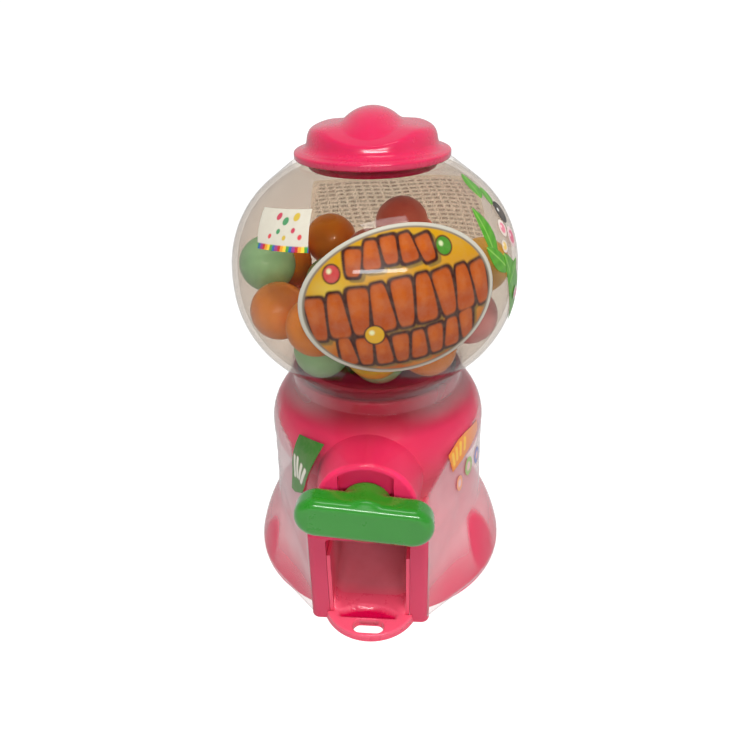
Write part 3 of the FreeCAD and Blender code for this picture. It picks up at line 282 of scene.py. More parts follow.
# lip plastic coloured from a per-point layer that holds its pink, painted shade in the recess and a painted highlight
def plastic_with_painted_light(name):
    n = Nodes(name)
    attr = n.add("ShaderNodeAttribute", attribute_name="ink_and_painted_light")
    base = n.mix(n.remap(n.noise(260.0, 4.0, 0.6), 0.4, 0.75, 0.0, 0.12), attr.outputs["Color"], srgb(206, 40, 76))
    p = n.principled(Base_Color=base, Roughness=n.remap(n.noise(140.0, 5.0, 0.65), 0.3, 0.75, 0.22, 0.38),
                     Normal=n.bump(n.noise(800.0, 3.0), 0.04, 0.0001), Coat_Weight=0.3, Coat_Roughness=0.08)
    return n.finish(p.outputs[0])


CHUTE = chute_plastic("chute_pink")
LIP_TOP = plastic_with_painted_light("lip_top_pink")
GLOBE = clear_shell("globe_clear", (0.885, 0.856, 0.822), gloss=0.22, rough=0.02)
# the film's per-point white veil is partly a painted reflection of the room
FILM = clear_shell("film_clear", (0.962, 0.948, 0.936), gloss=0.5, rough=0.035, ripple=0.22,
                   haze_attribute="haze")
CANDY = {
    "gum_green": (srgb(168, 226, 172), srgb(136, 206, 146)),
    "gum_orange": (srgb(255, 158, 30), srgb(240, 124, 12)),
    "gum_red": (srgb(238, 124, 100), srgb(214, 88, 70)),
    "gum_pink": (srgb(240, 160, 160), srgb(224, 124, 130)),
    "gum_yellow": (srgb(250, 204, 84), srgb(238, 176, 52)),
}


def paint_node(name, mat):
    obj = frame["nodes"][name]
    mesh = obj.data
    if len(obj.material_slots) == 0:
        mesh.materials.append(mat)
    for s in obj.material_slots:
        s.link = "OBJECT"
        s.material = mat


NODE_MATERIAL = {
    "lid": PINK, "globe": GLOBE, "shrink_sleeve": FILM, "housing": SHELL, "hopper": INNER,
    "dispensing_drum": INNER, "turn_handle": GREEN, "drive_pin": STEEL, "rear_bearing_post": INNER,
    "ball_chute": INNER, "base_plate": LIP, "base_screws": STEEL,
}
for key, mat in NODE_MATERIAL.items():
    paint_node(key, mat)
slots = {n["name"]: n.get("material_slot") or n.get("material") for n in frame["record"].get("nodes", [])
         if isinstance(n, dict)} if isinstance(frame["record"].get("nodes"), list) else {}
BALL_COLOUR = {}
for k in range(1, 34):
    key = "gumball_%02d" % k
    mat = frame["nodes"][key].material_slots[0].material if frame["nodes"][key].material_slots else None
    BALL_COLOUR[key] = mat.name.split(".")[0] if mat else "?"
print("BALLS", BALL_COLOUR)
for k in range(1, 34):
    key = "gumball_%02d" % k
    tone = BALL_COLOUR[key] if BALL_COLOUR[key] in CANDY else "gum_orange"
    paint_node(key, candy("%s_%02d" % (tone, k), *CANDY[tone], seed=k))


# ---------------------------------------------------------------------------
# mesh helpers (millimetres in, metres out)
# ---------------------------------------------------------------------------
def make_object(name, verts_mm, faces, mat, body="root", smooth=True, replaces=()):
    mesh = bpy.data.meshes.new(name)
    mesh.from_pydata([tuple(float(c) * MM for c in v) for v in verts_mm], [], [tuple(f) for f in faces])
    mesh.update()
    bm = bmesh.new()
    bm.from_mesh(mesh)
    bmesh.ops.recalc_face_normals(bm, faces=bm.faces)
    bm.to_mesh(mesh)
    bm.free()
    if smooth:
        mesh.polygons.foreach_set("use_smooth", [True] * len(mesh.polygons))
    mesh.materials.append(mat)
    obj = bpy.data.objects.new(name, mesh)
    scene.collection.objects.link(obj)
    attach(obj, body)
    if replaces:
        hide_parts(*replaces)
    return obj


def smoothstep(x, a, b):
    t = np.clip((np.asarray(x, float) - a) / (b - a), 0.0, 1.0)
    return t * t * (3 - 2 * t)


def blob(x, y, cx, cy, sx, sy):
    return np.exp(-((x - cx) / sx) ** 2 - ((y - cy) / sy) ** 2)


# ---------------------------------------------------------------------------
# shrink sleeve profile, outside face: (radius, height)
# ---------------------------------------------------------------------------
MID = 84.2
ARC_A, ARC_B, ARC_C = 38.71, 25.713, 32.309
TURN_A, TURN_B = math.radians(6.192), math.radians(51.203)
CEN_A = (-3.51, 0.0)
CEN_B = (CEN_A[0] + (ARC_A - ARC_B) * math.cos(TURN_A), (ARC_A - ARC_B) * math.sin(TURN_A))
CEN_C = (CEN_B[0] + (ARC_B - ARC_C) * math.cos(TURN_B), CEN_B[1] + (ARC_B - ARC_C) * math.sin(TURN_B))


def arc_centre(p, q, radius, turn):
    dx, dz = q[0] - p[0], q[1] - p[1]
    chord = math.hypot(dx, dz)
    rise = math.sqrt(radius ** 2 - chord ** 2 / 4)
    return ((p[0] + q[0]) / 2 - dz / chord * rise * turn, (p[1] + q[1]) / 2 + dx / chord * rise * turn)


def sleeve_profile(off=0.25, n=26):
    k = arc_centre((35.5, 2.5), (29.0, 18.3), 45.0, 1)
    foot, sk = 35.5 + off, 45 + off
    leave = (k[0] + math.sqrt(sk ** 2 - (18.0 - k[1]) ** 2), 18.0)
    start = (foot, k[1] + math.sqrt(max(0.0, sk ** 2 - (foot - k[0]) ** 2)))
    pts = [(foot, 1.7), start]
    a0 = math.atan2(start[1] - k[1], start[0] - k[0])
    a1 = math.atan2(leave[1] - k[1], leave[0] - k[0])
    pts += [(k[0] + sk * math.cos(a0 + (a1 - a0) * i / n), k[1] + sk * math.sin(a0 + (a1 - a0) * i / n))
            for i in range(1, n + 1)]
    pts.append((28.7 + off, 42.5))
    kc, hi, neck = (28.7 - 15.3, 42.5), 15.3 + off, 22.4 + off
    a1 = math.acos((neck - kc[0]) / hi)
    pts += [(kc[0] + hi * math.cos(a1 * i / n), kc[1] + hi * math.sin(a1 * i / n)) for i in range(1, n + 1)]
    low = math.acos((neck - CEN_C[0]) / ARC_C)

    def on(c, r, a, s):
        return (c[0] + r * math.cos(a), MID + s * (c[1] + r * math.sin(a)))
    pts += [on(CEN_C, ARC_C, low + (TURN_B - low) * i / n, -1) for i in range(n + 1)]
    pts += [on(CEN_B, ARC_B, TURN_B + (TURN_A - TURN_B) * i / n, -1) for i in range(1, n + 1)]
    pts += [(CEN_A[0] + ARC_A * math.cos(TURN_A * (2 * i / n - 1)), MID + ARC_A * math.sin(TURN_A * (2 * i / n - 1)))
            for i in range(1, n + 1)]
    pts += [on(CEN_B, ARC_B, TURN_A + (TURN_B - TURN_A) * i / n, 1) for i in range(1, n + 1)]
    high = math.acos((24.6 - CEN_C[0]) / ARC_C)
    pts += [on(CEN_C, ARC_C, TURN_B + (high - TURN_B) * i / n, 1) for i in range(1, n + 1)]
    pts.append((18.75, 110.8))
    return np.array(pts)


PROFILE = sleeve_profile()


def sleeve_radius(z):
    return float(np.interp(z, PROFILE[:, 1], PROFILE[:, 0]))


# arc length along the globe part, measured from the equator, so that prints
# can be laid out on the film as on a flat sheet
_GL = PROFILE[(PROFILE[:, 1] > 62.0) & (PROFILE[:, 1] < 111.0)]
_GS = np.concatenate([[0.0], np.cumsum(np.hypot(np.diff(_GL[:, 0]), np.diff(_GL[:, 1])))])
_GS = _GS - np.interp(MID, _GL[:, 1], _GS)


def on_globe(theta_deg, s, lift):
    """Point on the film over the globe: angle from -Y towards +X and arc length above the equator."""
    r = np.interp(s, _GS, _GL[:, 0])
    z = np.interp(s, _GS, _GL[:, 1])
    ds = 0.05
    dr = np.interp(s + ds, _GS, _GL[:, 0]) - np.interp(s - ds, _GS, _GL[:, 0])
    dz = np.interp(s + ds, _GS, _GL[:, 1]) - np.interp(s - ds, _GS, _GL[:, 1])
    ln = np.hypot(dr, dz)
    r = r + lift * dz / ln
    z = z - lift * dr / ln
    t = np.radians(theta_deg)
    return np.stack([r * np.sin(t), -r * np.cos(t), z], -1)


# ---------------------------------------------------------------------------
# shrink sleeve: hull of the round body and the porch corners, open in front
# ---------------------------------------------------------------------------
def hull(points):
    pts = sorted(set((round(float(x), 5), round(float(y), 5)) for x, y in points))

    def half(seq):
        out = []
        for p in seq:
            while len(out) > 1 and ((out[-1][0] - out[-2][0]) * (p[1] - out[-2][1])
                                    - (out[-1][1] - out[-2][1]) * (p[0] - out[-2][0])) <= 0:
                out.pop()
            out.append(p)
        return out
    a, b = half(pts), half(pts[::-1])
    return np.array(a[:-1] + b[:-1])


THETA = np.radians(np.linspace(-180.0, 180.0, 721))


def film_corner(z, rc, ck):
    """Centre of the rounded front corner that the film is drawn over: the
    porch's corners, then the rim of the handle boss, then back to the body."""
    front = -36.62 + ck
    if z <= 28.8:
        return 13.35, front
    if z <= 38.3:
        t = (z - 28.8) / 9.5
        return 13.35 + (9.95 - 13.35) * t, front
    reach = 12.3 ** 2 - (z - 38.3) ** 2
    if z < 50.3:
        return max(0.0, math.sqrt(max(reach, 0.0)) - ck), front
    s = min(1.0, (z - 50.3) / 5.2)
    return 0.0, -(rc - ck - 0.3) + (front + rc - ck - 0.3) * (1 - s) ** 1.7


def section(z):
    """Film radius over THETA (0 = -Y, positive towards +X) at a height."""
    rc = sleeve_radius(z)
    if z > 56.5:
        return np.full(len(THETA), rc)
    ck = 2.3
    cx, cy = film_corner(z, rc, ck)
    ring = [(rc * math.sin(a), -rc * math.cos(a)) for a in np.radians(np.arange(0, 360, 1.0))]
    corner = [(cx + ck * math.sin(a), cy - ck * math.cos(a)) for a in np.radians(np.arange(-60, 140, 4.0))]
    pts = hull(ring + corner + [(-x, y) for x, y in corner])
    ang = np.arctan2(pts[:, 0], -pts[:, 1])
    order = np.argsort(ang)
    pts, ang = pts[order], ang[order]
    pts = np.vstack([pts[-1:], pts, pts[:1]])
    ang = np.concatenate([[ang[-1] - 2 * math.pi], ang, [ang[0] + 2 * math.pi]])
    k = np.clip(np.searchsorted(ang, THETA) - 1, 0, len(ang) - 2)
    p, q = pts[k], pts[k + 1]
    dx, dy = np.sin(THETA), -np.cos(THETA)
    e = q - p
    den = dx * e[:, 1] - dy * e[:, 0]
    return (p[:, 0] * e[:, 1] - p[:, 1] * e[:, 0]) / den


def window_half(z):
    if z <= 38.3:
        return film_corner(z, 0.0, 2.3)[0] + 1.65
    return math.sqrt(max(0.0, 11.6 ** 2 - (z - 38.3) ** 2))


def build_sleeve():
    zs = list(np.linspace(1.7, 18.0, 12)) + list(np.linspace(19.3, 28.8, 9)) + list(np.linspace(29.5, 43.5, 22))
    zs += [43.5 + 6.4 * (1 - (1 - i / 14.0) ** 2.2) for i in range(1, 15)]
    zs += list(np.linspace(50.1, 57.0, 22)) + list(np.linspace(57.6, 61.0, 6))
    zs += list(np.linspace(62.0, 109.6, 52)) + [110.2, 110.8]
    half = 110
    verts, rows, haze = [], [], []
    for z in zs:
        rad = section(z)
        xw = window_half(z) if z < 49.899 else 0.0
        if xw > 0.02:
            front = (THETA >= 0) & (THETA < math.radians(75))
            xs = rad[front] * np.sin(THETA[front])
            tw = float(np.interp(xw, xs, THETA[front]))
        else:
            tw = 0.0
        u = np.linspace(0, 1, half + 1)
        u = 0.6 * u ** 1.8 + 0.4 * u
        right = tw + (math.pi - tw) * u
        th = np.concatenate([right, 2 * math.pi - right[::-1][1:]])
        wrapped = (th + math.pi) % (2 * math.pi) - math.pi
        r = np.interp(wrapped, THETA, rad)
        rows.append(np.stack([r * np.sin(th), -r * np.cos(th), np.full(len(th), z)], -1))
    outer = np.array(rows)
    # soft waves where the film hangs free between its contact lines
    grid_th = np.arctan2(outer[..., 0], -outer[..., 1])
    grid_z = outer[..., 2]
    free = smoothstep(grid_z, 19, 26) * (1 - smoothstep(grid_z, 38, 44))
    wave = 0.16 * free * (np.sin(grid_th * 9 + 0.12 * grid_z) + 0.6 * np.sin(grid_th * 17 - 0.2 * grid_z + 1.0)) \
        + 0.05 * free * np.sin(grid_z * 0.9 + grid_th * 3)
    wave = wave * smoothstep(np.abs(np.degrees(grid_th)), 24, 36)
    gather = blob(grid_z, 0, 62.0, 0, 1.6, 1) * 0.10
    wave = wave + gather * (np.sin(grid_th * 31) + 0.5 * np.sin(grid_th * 47 + 1)) - 0.16 * free
    rr = np.hypot(outer[..., 0], outer[..., 1])
    outer = outer * np.stack([(rr + wave) / rr, (rr + wave) / rr, np.ones_like(rr)], -1)
    rr = rr + wave
    inner = outer.copy()
    wall = 0.16
    inner[..., 0] *= (rr - wall) / rr
    inner[..., 1] *= (rr - wall) / rr
    nr, nc = outer.shape[:2]
    verts = np.concatenate([outer.reshape(-1, 3), inner.reshape(-1, 3)])
    n0 = nr * nc
    faces = []
    closed_from = next(i for i, z in enumerate(zs) if z >= 49.899)
    index = np.arange(n0).reshape(nr, nc)
    # above the window the two side columns are one and the same line
    merge = {int(index[i, nc - 1]): int(index[i, 0]) for i in range(closed_from, nr)}

    def vid(i, j, inner_wall=False):
        k = int(index[i, j])
        k = merge.get(k, k)
        return k + n0 if inner_wall else k
    for i in range(nr - 1):
        for j in range(nc - 1):
            for wall_in in (False, True):
                f = [vid(i, j, wall_in), vid(i, j + 1, wall_in), vid(i + 1, j + 1, wall_in), vid(i + 1, j, wall_in)]
                f = list(dict.fromkeys(f))
                faces.append(f[::-1] if wall_in else f)
    for j in range(nc - 1):
        faces.append([vid(0, j, True), vid(0, j + 1, True), vid(0, j + 1), vid(0, j)])
        faces.append([vid(nr - 1, j), vid(nr - 1, j + 1), vid(nr - 1, j + 1, True), vid(nr - 1, j, True)])
    for i in range(closed_from):
        a, b = (i, 0), (i + 1, 0)
        f = [vid(*a), vid(*b), vid(*b, True), vid(*a, True)]
        faces.append(list(dict.fromkeys(f)))
        a, b = (i, nc - 1), (i + 1, nc - 1)
        f = [vid(*a, True), vid(*b, True), vid(*b), vid(*a)]
        faces.append(list(dict.fromkeys(f)))
    used = sorted(set(v for f in faces for v in f))
    remap = {v: k for k, v in enumerate(used)}
    verts = verts[used]
    faces = [[remap[v] for v in f] for f in faces if len(f) > 2]
    obj = make_object("sleeve_film", verts, faces, FILM, replaces=("shrink_sleeve",))
    # painted reflection and stand-off veil: white-ish where the film stands off what it covers and where it reflects
    # the pale room, clear in contact
    co = verts
    th = np.degrees(np.arctan2(co[:, 0], -co[:, 1]))
    z = co[:, 2]
    ab = np.abs(th)
    side = np.where(th < 0, 0.62, 0.44)
    h = side * smoothstep(z, 3, 16) * (1 - smoothstep(z, 46, 52)) + 0.16 * (1 - smoothstep(z, 4, 12))
    h = h * (1 - 0.35 * blob(th, z, -78, 17, 14, 7)) * (1 - 0.45 * smoothstep(z, 6, 3) * smoothstep(ab, 44, 50))
    h = h + 0.10 * blob(ab, z, 76, 34, 16, 14)
    h = h - 0.08 * blob(ab, z, 36, 8, 12, 8)
    # saturated bay on the chest, wider on the right
    edge_right = 24 + 24 * smoothstep(z, 36, 46.5) + 30 * smoothstep(z, 45.0, 48.5)
    edge_left = -(26 + 17 * smoothstep(z, 33, 42) + 22 * smoothstep(z, 43.5, 48.5))
    inside = (1 - smoothstep(th, edge_right - 4, edge_right + 3)) * smoothstep(th, edge_left - 3, edge_left + 3)
    inside = inside * smoothstep(z, 28, 32) * (1 - smoothstep(z, 51.5, 55.5))
    h = h * (1 - 0.97 * inside)
    # painted reflection: a pale band round the neck, where the film faces up to the room, thin in front
    band = smoothstep(z, 51.0, 55.0) * (1 - smoothstep(z, 59.5, 63.5))
    h = np.maximum(h, band * (0.02 + 0.26 * smoothstep(ab, 14, 48)))
    # where it lies on the skirt
    for ct, cz, st, sz in ((-62, 6.5, 8.5, 8.5), (63, 9.5, 10.5, 9.5), (150, 8, 22, 7), (-150, 8, 22, 7), (105, 10, 12, 7)):
        h = h * (1 - 0.98 * smoothstep(blob(th, z, ct, cz, st, sz), 0.28, 0.55))
    # store the level of the painted reflection and stand-off veil per point
    attr = obj.data.attributes.new("haze", "FLOAT", "POINT")
    attr.data.foreach_set("value", np.clip(h, 0, 0.9).astype(np.float32))
    return obj


build_sleeve()


# ---------------------------------------------------------------------------
# lid: turned and crowned shell with the grip ridge blended in
# ---------------------------------------------------------------------------
def lid_turned_height(r):
    """Top of the turned lid at a radius: flat crown, rounded shoulder, flare, brim."""
    # shoulder arc from (15, 115.4) to (10.4, 119.75), bulging outwards
    c = arc_centre((15.0, 115.4), (10.4, 119.75), 4.75, 1)
    c2 = arc_centre((16.9, 113.55), (15.0, 115.4), 2.1, -1)
    if r <= 10.4:
        return 119.75
    if r <= 15.0:
        return c[1] + math.sqrt(max(0.0, 4.75 ** 2 - (r - c[0]) ** 2))
    if r <= 16.9:
        return c2[1] - math.sqrt(max(0.0, 2.1 ** 2 - (r - c2[0]) ** 2))
    if r <= 17.6:
        return 113.55 - 0.30 * (r - 16.9) / 0.7
    d = min(0.5, r - 17.6)
    return 113.25 - (0.5 - math.sqrt(max(0.0, 0.25 - d * d)))


def smooth_max(a, b, k):
    h = np.clip(0.5 + 0.5 * (a - b) / k, 0, 1)
    return b + (a - b) * h + k * h * (1 - h)


def lid_top(x, y):
    r = math.hypot(x, y)
    base = lid_turned_height(r)
    crown = 119.75 - 32.0 + math.sqrt(max(0.0, 32.0 ** 2 - y * y))
    base = -float(smooth_max(-base, -crown, 0.6))
    side = 119.75 - 62.0 + math.sqrt(62.0 ** 2 - x * x)
    base = -float(smooth_max(-base, -side, 0.8))
    e = 1 - (x / 8.8) ** 2 - (y / (12.8 if y < 0 else 14.4)) ** 2
    if e <= 0:
        ridge = 112.0 + 6.0 * e
    else:
        ridge = 114.0 + 8.35 * math.sqrt(e)
    k = 1.0 + 1.5 * float(smoothstep(abs(y), 4.0, 12.0))
    top = float(smooth_max(np.float64(base), np.float64(ridge), k)) if r < 16.6 else base
    return min(top, 122.35)


def build_lid():
    radii = list(np.linspace(0.4, 10.0, 22)) + list(np.linspace(10.25, 15.0, 26)) + list(np.linspace(15.1, 16.9, 12))
    radii += [17.2, 17.6, 17.75, 17.9, 18.0, 18.07, 18.1]
    count = 180
    ang = np.arange(count) * 2 * math.pi / count
    loops = []
    for r in radii:
        loops.append([(r * math.cos(a), r * math.sin(a), lid_top(r * math.cos(a), r * math.sin(a))) for a in ang])

    def flat(r, z):
        return [(r * math.cos(a), r * math.sin(a), z) for a in ang]
    for k in range(1, 7):
        a = k / 6 * math.pi / 2
        loops.append(flat(17.6 + 0.5 * math.cos(a), 112.0 - 0.5 * math.sin(a)))
    loops += [flat(15.6, 111.5), flat(15.15, 111.45), flat(14.95, 111.2), flat(14.95, 109.7), flat(14.8, 109.45),
              flat(13.9, 109.4), flat(13.6, 109.5), flat(13.5, 109.8), flat(13.5, 113.6)]
    for r in list(np.linspace(13.4, 9.8, 12)) + list(np.linspace(9.0, 0.5, 10)):
        wall = 1.4 + 1.6 * float(smoothstep(r, 11.0, 13.4))
        loops.append([(r * math.cos(a), r * math.sin(a), max(113.6, min(lid_top(r * math.cos(a), r * math.sin(a)) - wall, 120.9)))
                      for a in ang])
    verts = [(0.0, 0.0, lid_top(0, 0))] + [p for lp in loops for p in lp]
    verts.append((0.0, 0.0, lid_top(0, 0) - 1.4))
    last = len(verts) - 1
    faces = []
    for j in range(count):
        faces.append([0, 1 + j, 1 + (j + 1) % count])
    for i in range(len(loops) - 1):
        a0, b0 = 1 + i * count, 1 + (i + 1) * count
        for j in range(count):
            faces.append([a0 + j, b0 + j, b0 + (j + 1) % count, a0 + (j + 1) % count])
    a0 = 1 + (len(loops) - 1) * count
    for j in range(count):
        faces.append([a0 + j, last, a0 + (j + 1) % count])
    return make_object("lid_moulding", verts, faces, PINK, body="lid", replaces=("lid",))


build_lid()


# ---------------------------------------------------------------------------
# turn handle: pill bar blended with its hub, stem and square tang behind
# ---------------------------------------------------------------------------
AXLE = 38.3
REST = math.radians(5.5)


def soft_min(a, b, k):
    h = np.clip(0.5 + 0.5 * (b - a) / k, 0, 1)
    return b + (a - b) * h - k * h * (1 - h)


def solid_pair(d2, dy, rho):
    a, b = d2 + rho, dy + rho
    return np.minimum(np.maximum(a, b), 0) + np.hypot(np.maximum(a, 0), np.maximum(b, 0)) - rho


def handle_distance(p):
    x, y, z = p[:, 0], p[:, 1], p[:, 2]
    stadium = np.hypot(np.maximum(np.abs(x) - (16.3 - 5.35), 0), z) - 5.35
    bar = solid_pair(stadium, np.abs(y + 40.38) - 3.48, 2.2)
    rad = np.hypot(x, z)
    hub = solid_pair(rad - 6.15, np.abs(y + 38.5) - 4.1, 1.2)
    d = soft_min(bar, hub, 0.8)
    stem = solid_pair(rad - 3.95, np.abs(y + 26.2) - 9.0, 0.3)
    d = soft_min(d, stem, 0.6)
    tang = solid_pair(np.maximum(np.abs(x), np.abs(z)) - 2.78, np.abs(y + 14.7) - 4.5, 0.25)
    return np.minimum(d, tang)


def build_handle():
    bm = bmesh.new()

    def block(sx, sy, sz, cy):
        m = bmesh.ops.create_cube(bm, size=1.0)
        for v in m["verts"]:
            v.co = Vector((v.co.x * sx, v.co.y * sy + cy, v.co.z * sz))

    def rod(radius, y0, y1):
        m = bmesh.ops.create_cone(bm, cap_ends=True, segments=64, radius1=radius, radius2=radius, depth=abs(y1 - y0))
        for v in m["verts"]:
            v.co = Vector((v.co.x, -v.co.z + (y0 + y1) / 2, v.co.y))
    block(32.4, 6.8, 10.5, -40.38)
    rod(6.1, -43.1, -34.5)
    rod(3.9, -36.0, -17.3)
    block(5.5, 8.6, 5.5, -14.7)
    mesh = bpy.data.meshes.new("handle_core")
    bm.to_mesh(mesh)
    bm.free()
    tmp = bpy.data.objects.new("handle_core", mesh)
    scene.collection.objects.link(tmp)
    mod = tmp.modifiers.new("remesh", "REMESH")
    mod.mode = "VOXEL"
    mod.voxel_size = 0.30
    deps = bpy.context.evaluated_depsgraph_get()
    out = bpy.data.meshes.new_from_object(tmp.evaluated_get(deps))
    bpy.data.objects.remove(tmp)
    co = np.array([v.co for v in out.vertices], float)
    faces = [list(p.vertices) for p in out.polygons]
    bpy.data.meshes.remove(out)
    nb = [[] for _ in co]
    for f in faces:
        for a, b in zip(f, f[1:] + f[:1]):
            nb[a].append(b)
            nb[b].append(a)
    width = max(len(q) for q in nb)
    table = np.array([q + [i] * (width - len(q)) for i, q in enumerate(nb)])
    for step in range(14):
        if step < 11:
            co = co + 0.5 * (co[table].mean(1) - co)
        for _ in range(4):
            d = handle_distance(co)
            g = np.stack([(handle_distance(co + e) - handle_distance(co - e)) / 0.02
                          for e in (np.array([0.01, 0, 0]), np.array([0, 0.01, 0]), np.array([0, 0, 0.01]))], -1)
            ln = np.maximum(np.linalg.norm(g, axis=1, keepdims=True), 0.3)
            co = co - np.clip(d, -0.6, 0.6)[:, None] * g / ln ** 2
    c, s = math.cos(REST), math.sin(REST)
    x, z = co[:, 0].copy(), co[:, 2].copy()
    co[:, 0] = x * c + z * s
    co[:, 2] = -x * s + z * c + AXLE
    return make_object("handle_moulding", co, faces, GREEN, body="handle",
                       replaces=("turn_handle",))


build_handle()


# ---------------------------------------------------------------------------
# chute: U-shaped ramp with rounded banks, pink at its mouth, duller inside
# ---------------------------------------------------------------------------
def ramp_height(y):
    return 2.6 + (9.8 - 2.6) / 43.9 * (y + 37.3)


def build_chute():
    half, wall, top = 10.42, 0.9, 21.95
    xs = sorted(set([-half, half, -9.52, 9.52, -9.50, 9.50] + list(np.linspace(-9.48, -6.5, 12)) + list(np.linspace(6.5, 9.48, 12))
                    + list(np.linspace(-6.5, 6.5, 25))))
    ys = list(np.linspace(-36.28, 6.6, 60)) + list(np.linspace(6.8, 10.0, 8)) + [10.1, 10.98]
    verts = []
    for y in ys:
        for x in xs:
            z = ramp_height(min(y, 6.6))
            if y > 6.6:
                t = min(3.4, y - 6.6)
                z += 3.5 - math.sqrt(max(0.0, 3.5 ** 2 - t * t))
            a = abs(x)
            if a > 6.5:
                z += 3.0 - math.sqrt(max(0.0, 9.0 - min(3.0, a - 6.5) ** 2))
            if y < -33.6 and a < 9.3:
                z = 1.63 + (z - 1.63) * float(smoothstep(y, -34.4, -33.7))
            if a >= 9.515 or y >= 10.05:
                z = top
            verts.append((x, y, z))
    nx, ny = len(xs), len(ys)
    n0 = nx * ny
    verts += [(x, y, 1.62) for y in ys for x in xs]
    faces = []
    for i in range(ny - 1):
        for j in range(nx - 1):
            a = i * nx + j
            faces.append([a, a + 1, a + 1 + nx, a + nx])
            faces.append([n0 + a, n0 + a + nx, n0 + a + 1 + nx, n0 + a + 1])
    for j in range(nx - 1):
        for a, flip in ((j, False), ((ny - 1) * nx + j, True)):
            f = [a, n0 + a, n0 + a + 1, a + 1]
            faces.append(f[::-1] if flip else f)
    for i in range(ny - 1):
        for a, flip in ((i * nx, True), (i * nx + nx - 1, False)):
            f = [a, n0 + a, n0 + a + nx, a + nx]
            faces.append(f[::-1] if flip else f)
    obj = make_object("chute_moulding", verts, faces, CHUTE, smooth=False, replaces=("ball_chute",))
    mesh = obj.data
    mesh.polygons.foreach_set("use_smooth", [abs(p.normal.z) > 0.05 and abs(p.normal.z) < 0.9999 for p in mesh.polygons])
    return obj


build_chute()


# ---------------------------------------------------------------------------
# lip: thickened tongue round the hang slot with a lens-shaped recess behind it
# ---------------------------------------------------------------------------
def build_lip():
    cx, cy = 0.0, -40.4
    count, rings = 240, 26
    ang = np.arange(count) * 2 * math.pi / count - math.pi / 2

    def reach(poly, a):
        """Distance from the slot centre to a closed polygon along an angle."""
        d = np.array([math.cos(a), math.sin(a)])
        best = 1e9
        for p, q in zip(poly, np.roll(poly, -1, axis=0)):
            e = q - p
            den = d[0] * e[1] - d[1] * e[0]
            if abs(den) < 1e-12:
                continue
            rel = p - np.array([cx, cy])
            t = (rel[0] * e[1] - rel[1] * e[0]) / den
            w = (rel[0] * d[1] - rel[1] * d[0]) / den
            if t > 1e-6 and -1e-9 <= w <= 1 + 1e-9:
                best = min(best, t)
        return best
    arc = [(12.85 * math.sin(t), -30.5 - 12.85 * math.cos(t)) for t in np.linspace(math.radians(-62), math.radians(62), 80)]
    outer = np.array([p for p in arc if p[1] < -36.47] + [(11.25, -36.47), (9.45, -36.47), (9.40, -31.0), (-9.40, -31.0),
                                                         (-9.45, -36.47), (-11.25, -36.47)])
    lx = 4.0 - 1.95
    slot = np.array([(lx + 1.97 * math.cos(t), cy + 1.97 * math.sin(t)) for t in np.linspace(-math.pi / 2, math.pi / 2, 20)]
                    + [(-lx - 1.97 * math.cos(t), cy + 1.97 * math.sin(t)) for t in np.linspace(math.pi / 2, -math.pi / 2, 20)])
    verts, ink_and_painted_light = [], []
    pink, recess_shade, step_highlight = np.array(srgb(236, 84, 112)), np.array(srgb(208, 4, 70)), np.array(srgb(242, 110, 136))
    for k in range(rings + 1):
        f = k / rings
        f = 0.5 - 0.5 * math.cos(math.pi * f)
        for a in ang:
            r0, r1 = reach(slot, a), reach(outer, a)
            r = r0 + (r1 - r0) * f
            x, y = cx + r * math.cos(a), cy + r * math.sin(a)
            d_out, d_in = r1 - r, r - r0
            ramp = ramp_height(y) + 0.06
            bank = max(0.0, abs(x) - 6.3)
            if y > -36.6:
                ramp += (3.0 - math.sqrt(max(0.0, 9.0 - min(2.9, bank) ** 2))) * float(smoothstep(y, -36.6, -34.0))
            z = float(smooth_max(np.float64(2.15), np.float64(ramp), 0.5))
            # lens recess: straight front edge, rounded rear edge; the same mask paints the recess deep magenta as
            # painted shade
            front = y + 37.95
            rear = 14.2 - math.hypot(x + 0.4, y + 48.7)
            inner = min(front, rear, 7.4 - abs(x + 0.4))
            m = float(smoothstep(inner, -0.25, 0.45))
            z = z + (1.72 - z) * m
            if y < -36.0:
                edge = min(0.55, d_out)
                z -= 0.55 - math.sqrt(max(0.0, 0.55 ** 2 - (0.55 - edge) ** 2)) if edge < 0.55 else 0.0
            edge = min(0.35, d_in)
            if edge < 0.35:
                z -= 0.35 - math.sqrt(max(0.0, 0.35 ** 2 - (0.35 - edge) ** 2))
            verts.append((x, y, max(z, 1.64)))
            # painted shade fills the recess, and a painted highlight runs along its straight front edge
            tone = pink * (1 - m) + recess_shade * m
            step_highlight_mask = math.exp(-((front) / 0.35) ** 2) * (1.0 if abs(x + 0.4) < 7.4 else 0.0)
            ink_and_painted_light.append(tone * (1 - 0.35 * step_highlight_mask) + step_highlight * 0.35 * step_highlight_mask)
    n0 = len(verts)
    verts += [(x, y, 0.5) for x, y, _ in verts]
    ink_and_painted_light += ink_and_painted_light
    faces = []
    for k in range(rings):
        for j in range(count):
            a, b = k * count + j, k * count + (j + 1) % count
            faces.append([a, b, b + count, a + count])
            faces.append([n0 + a, n0 + a + count, n0 + b + count, n0 + b])
    for j in range(count):
        a, b = j, (j + 1) % count
        faces.append([a, n0 + a, n0 + b, b])
        a, b = rings * count + j, rings * count + (j + 1) % count
        faces.append([a, b, n0 + b, n0 + a])
    obj = make_object("lip_moulding", verts, faces, LIP_TOP)
    layer = obj.data.color_attributes.new("ink_and_painted_light", "FLOAT_COLOR", "POINT")
    col = np.concatenate([np.clip(np.array(ink_and_painted_light), 0, 1), np.ones((len(ink_and_painted_light), 1))], 1)
    layer.data.foreach_set("color", col.astype(np.float32).ravel())
    return obj


build_lip()
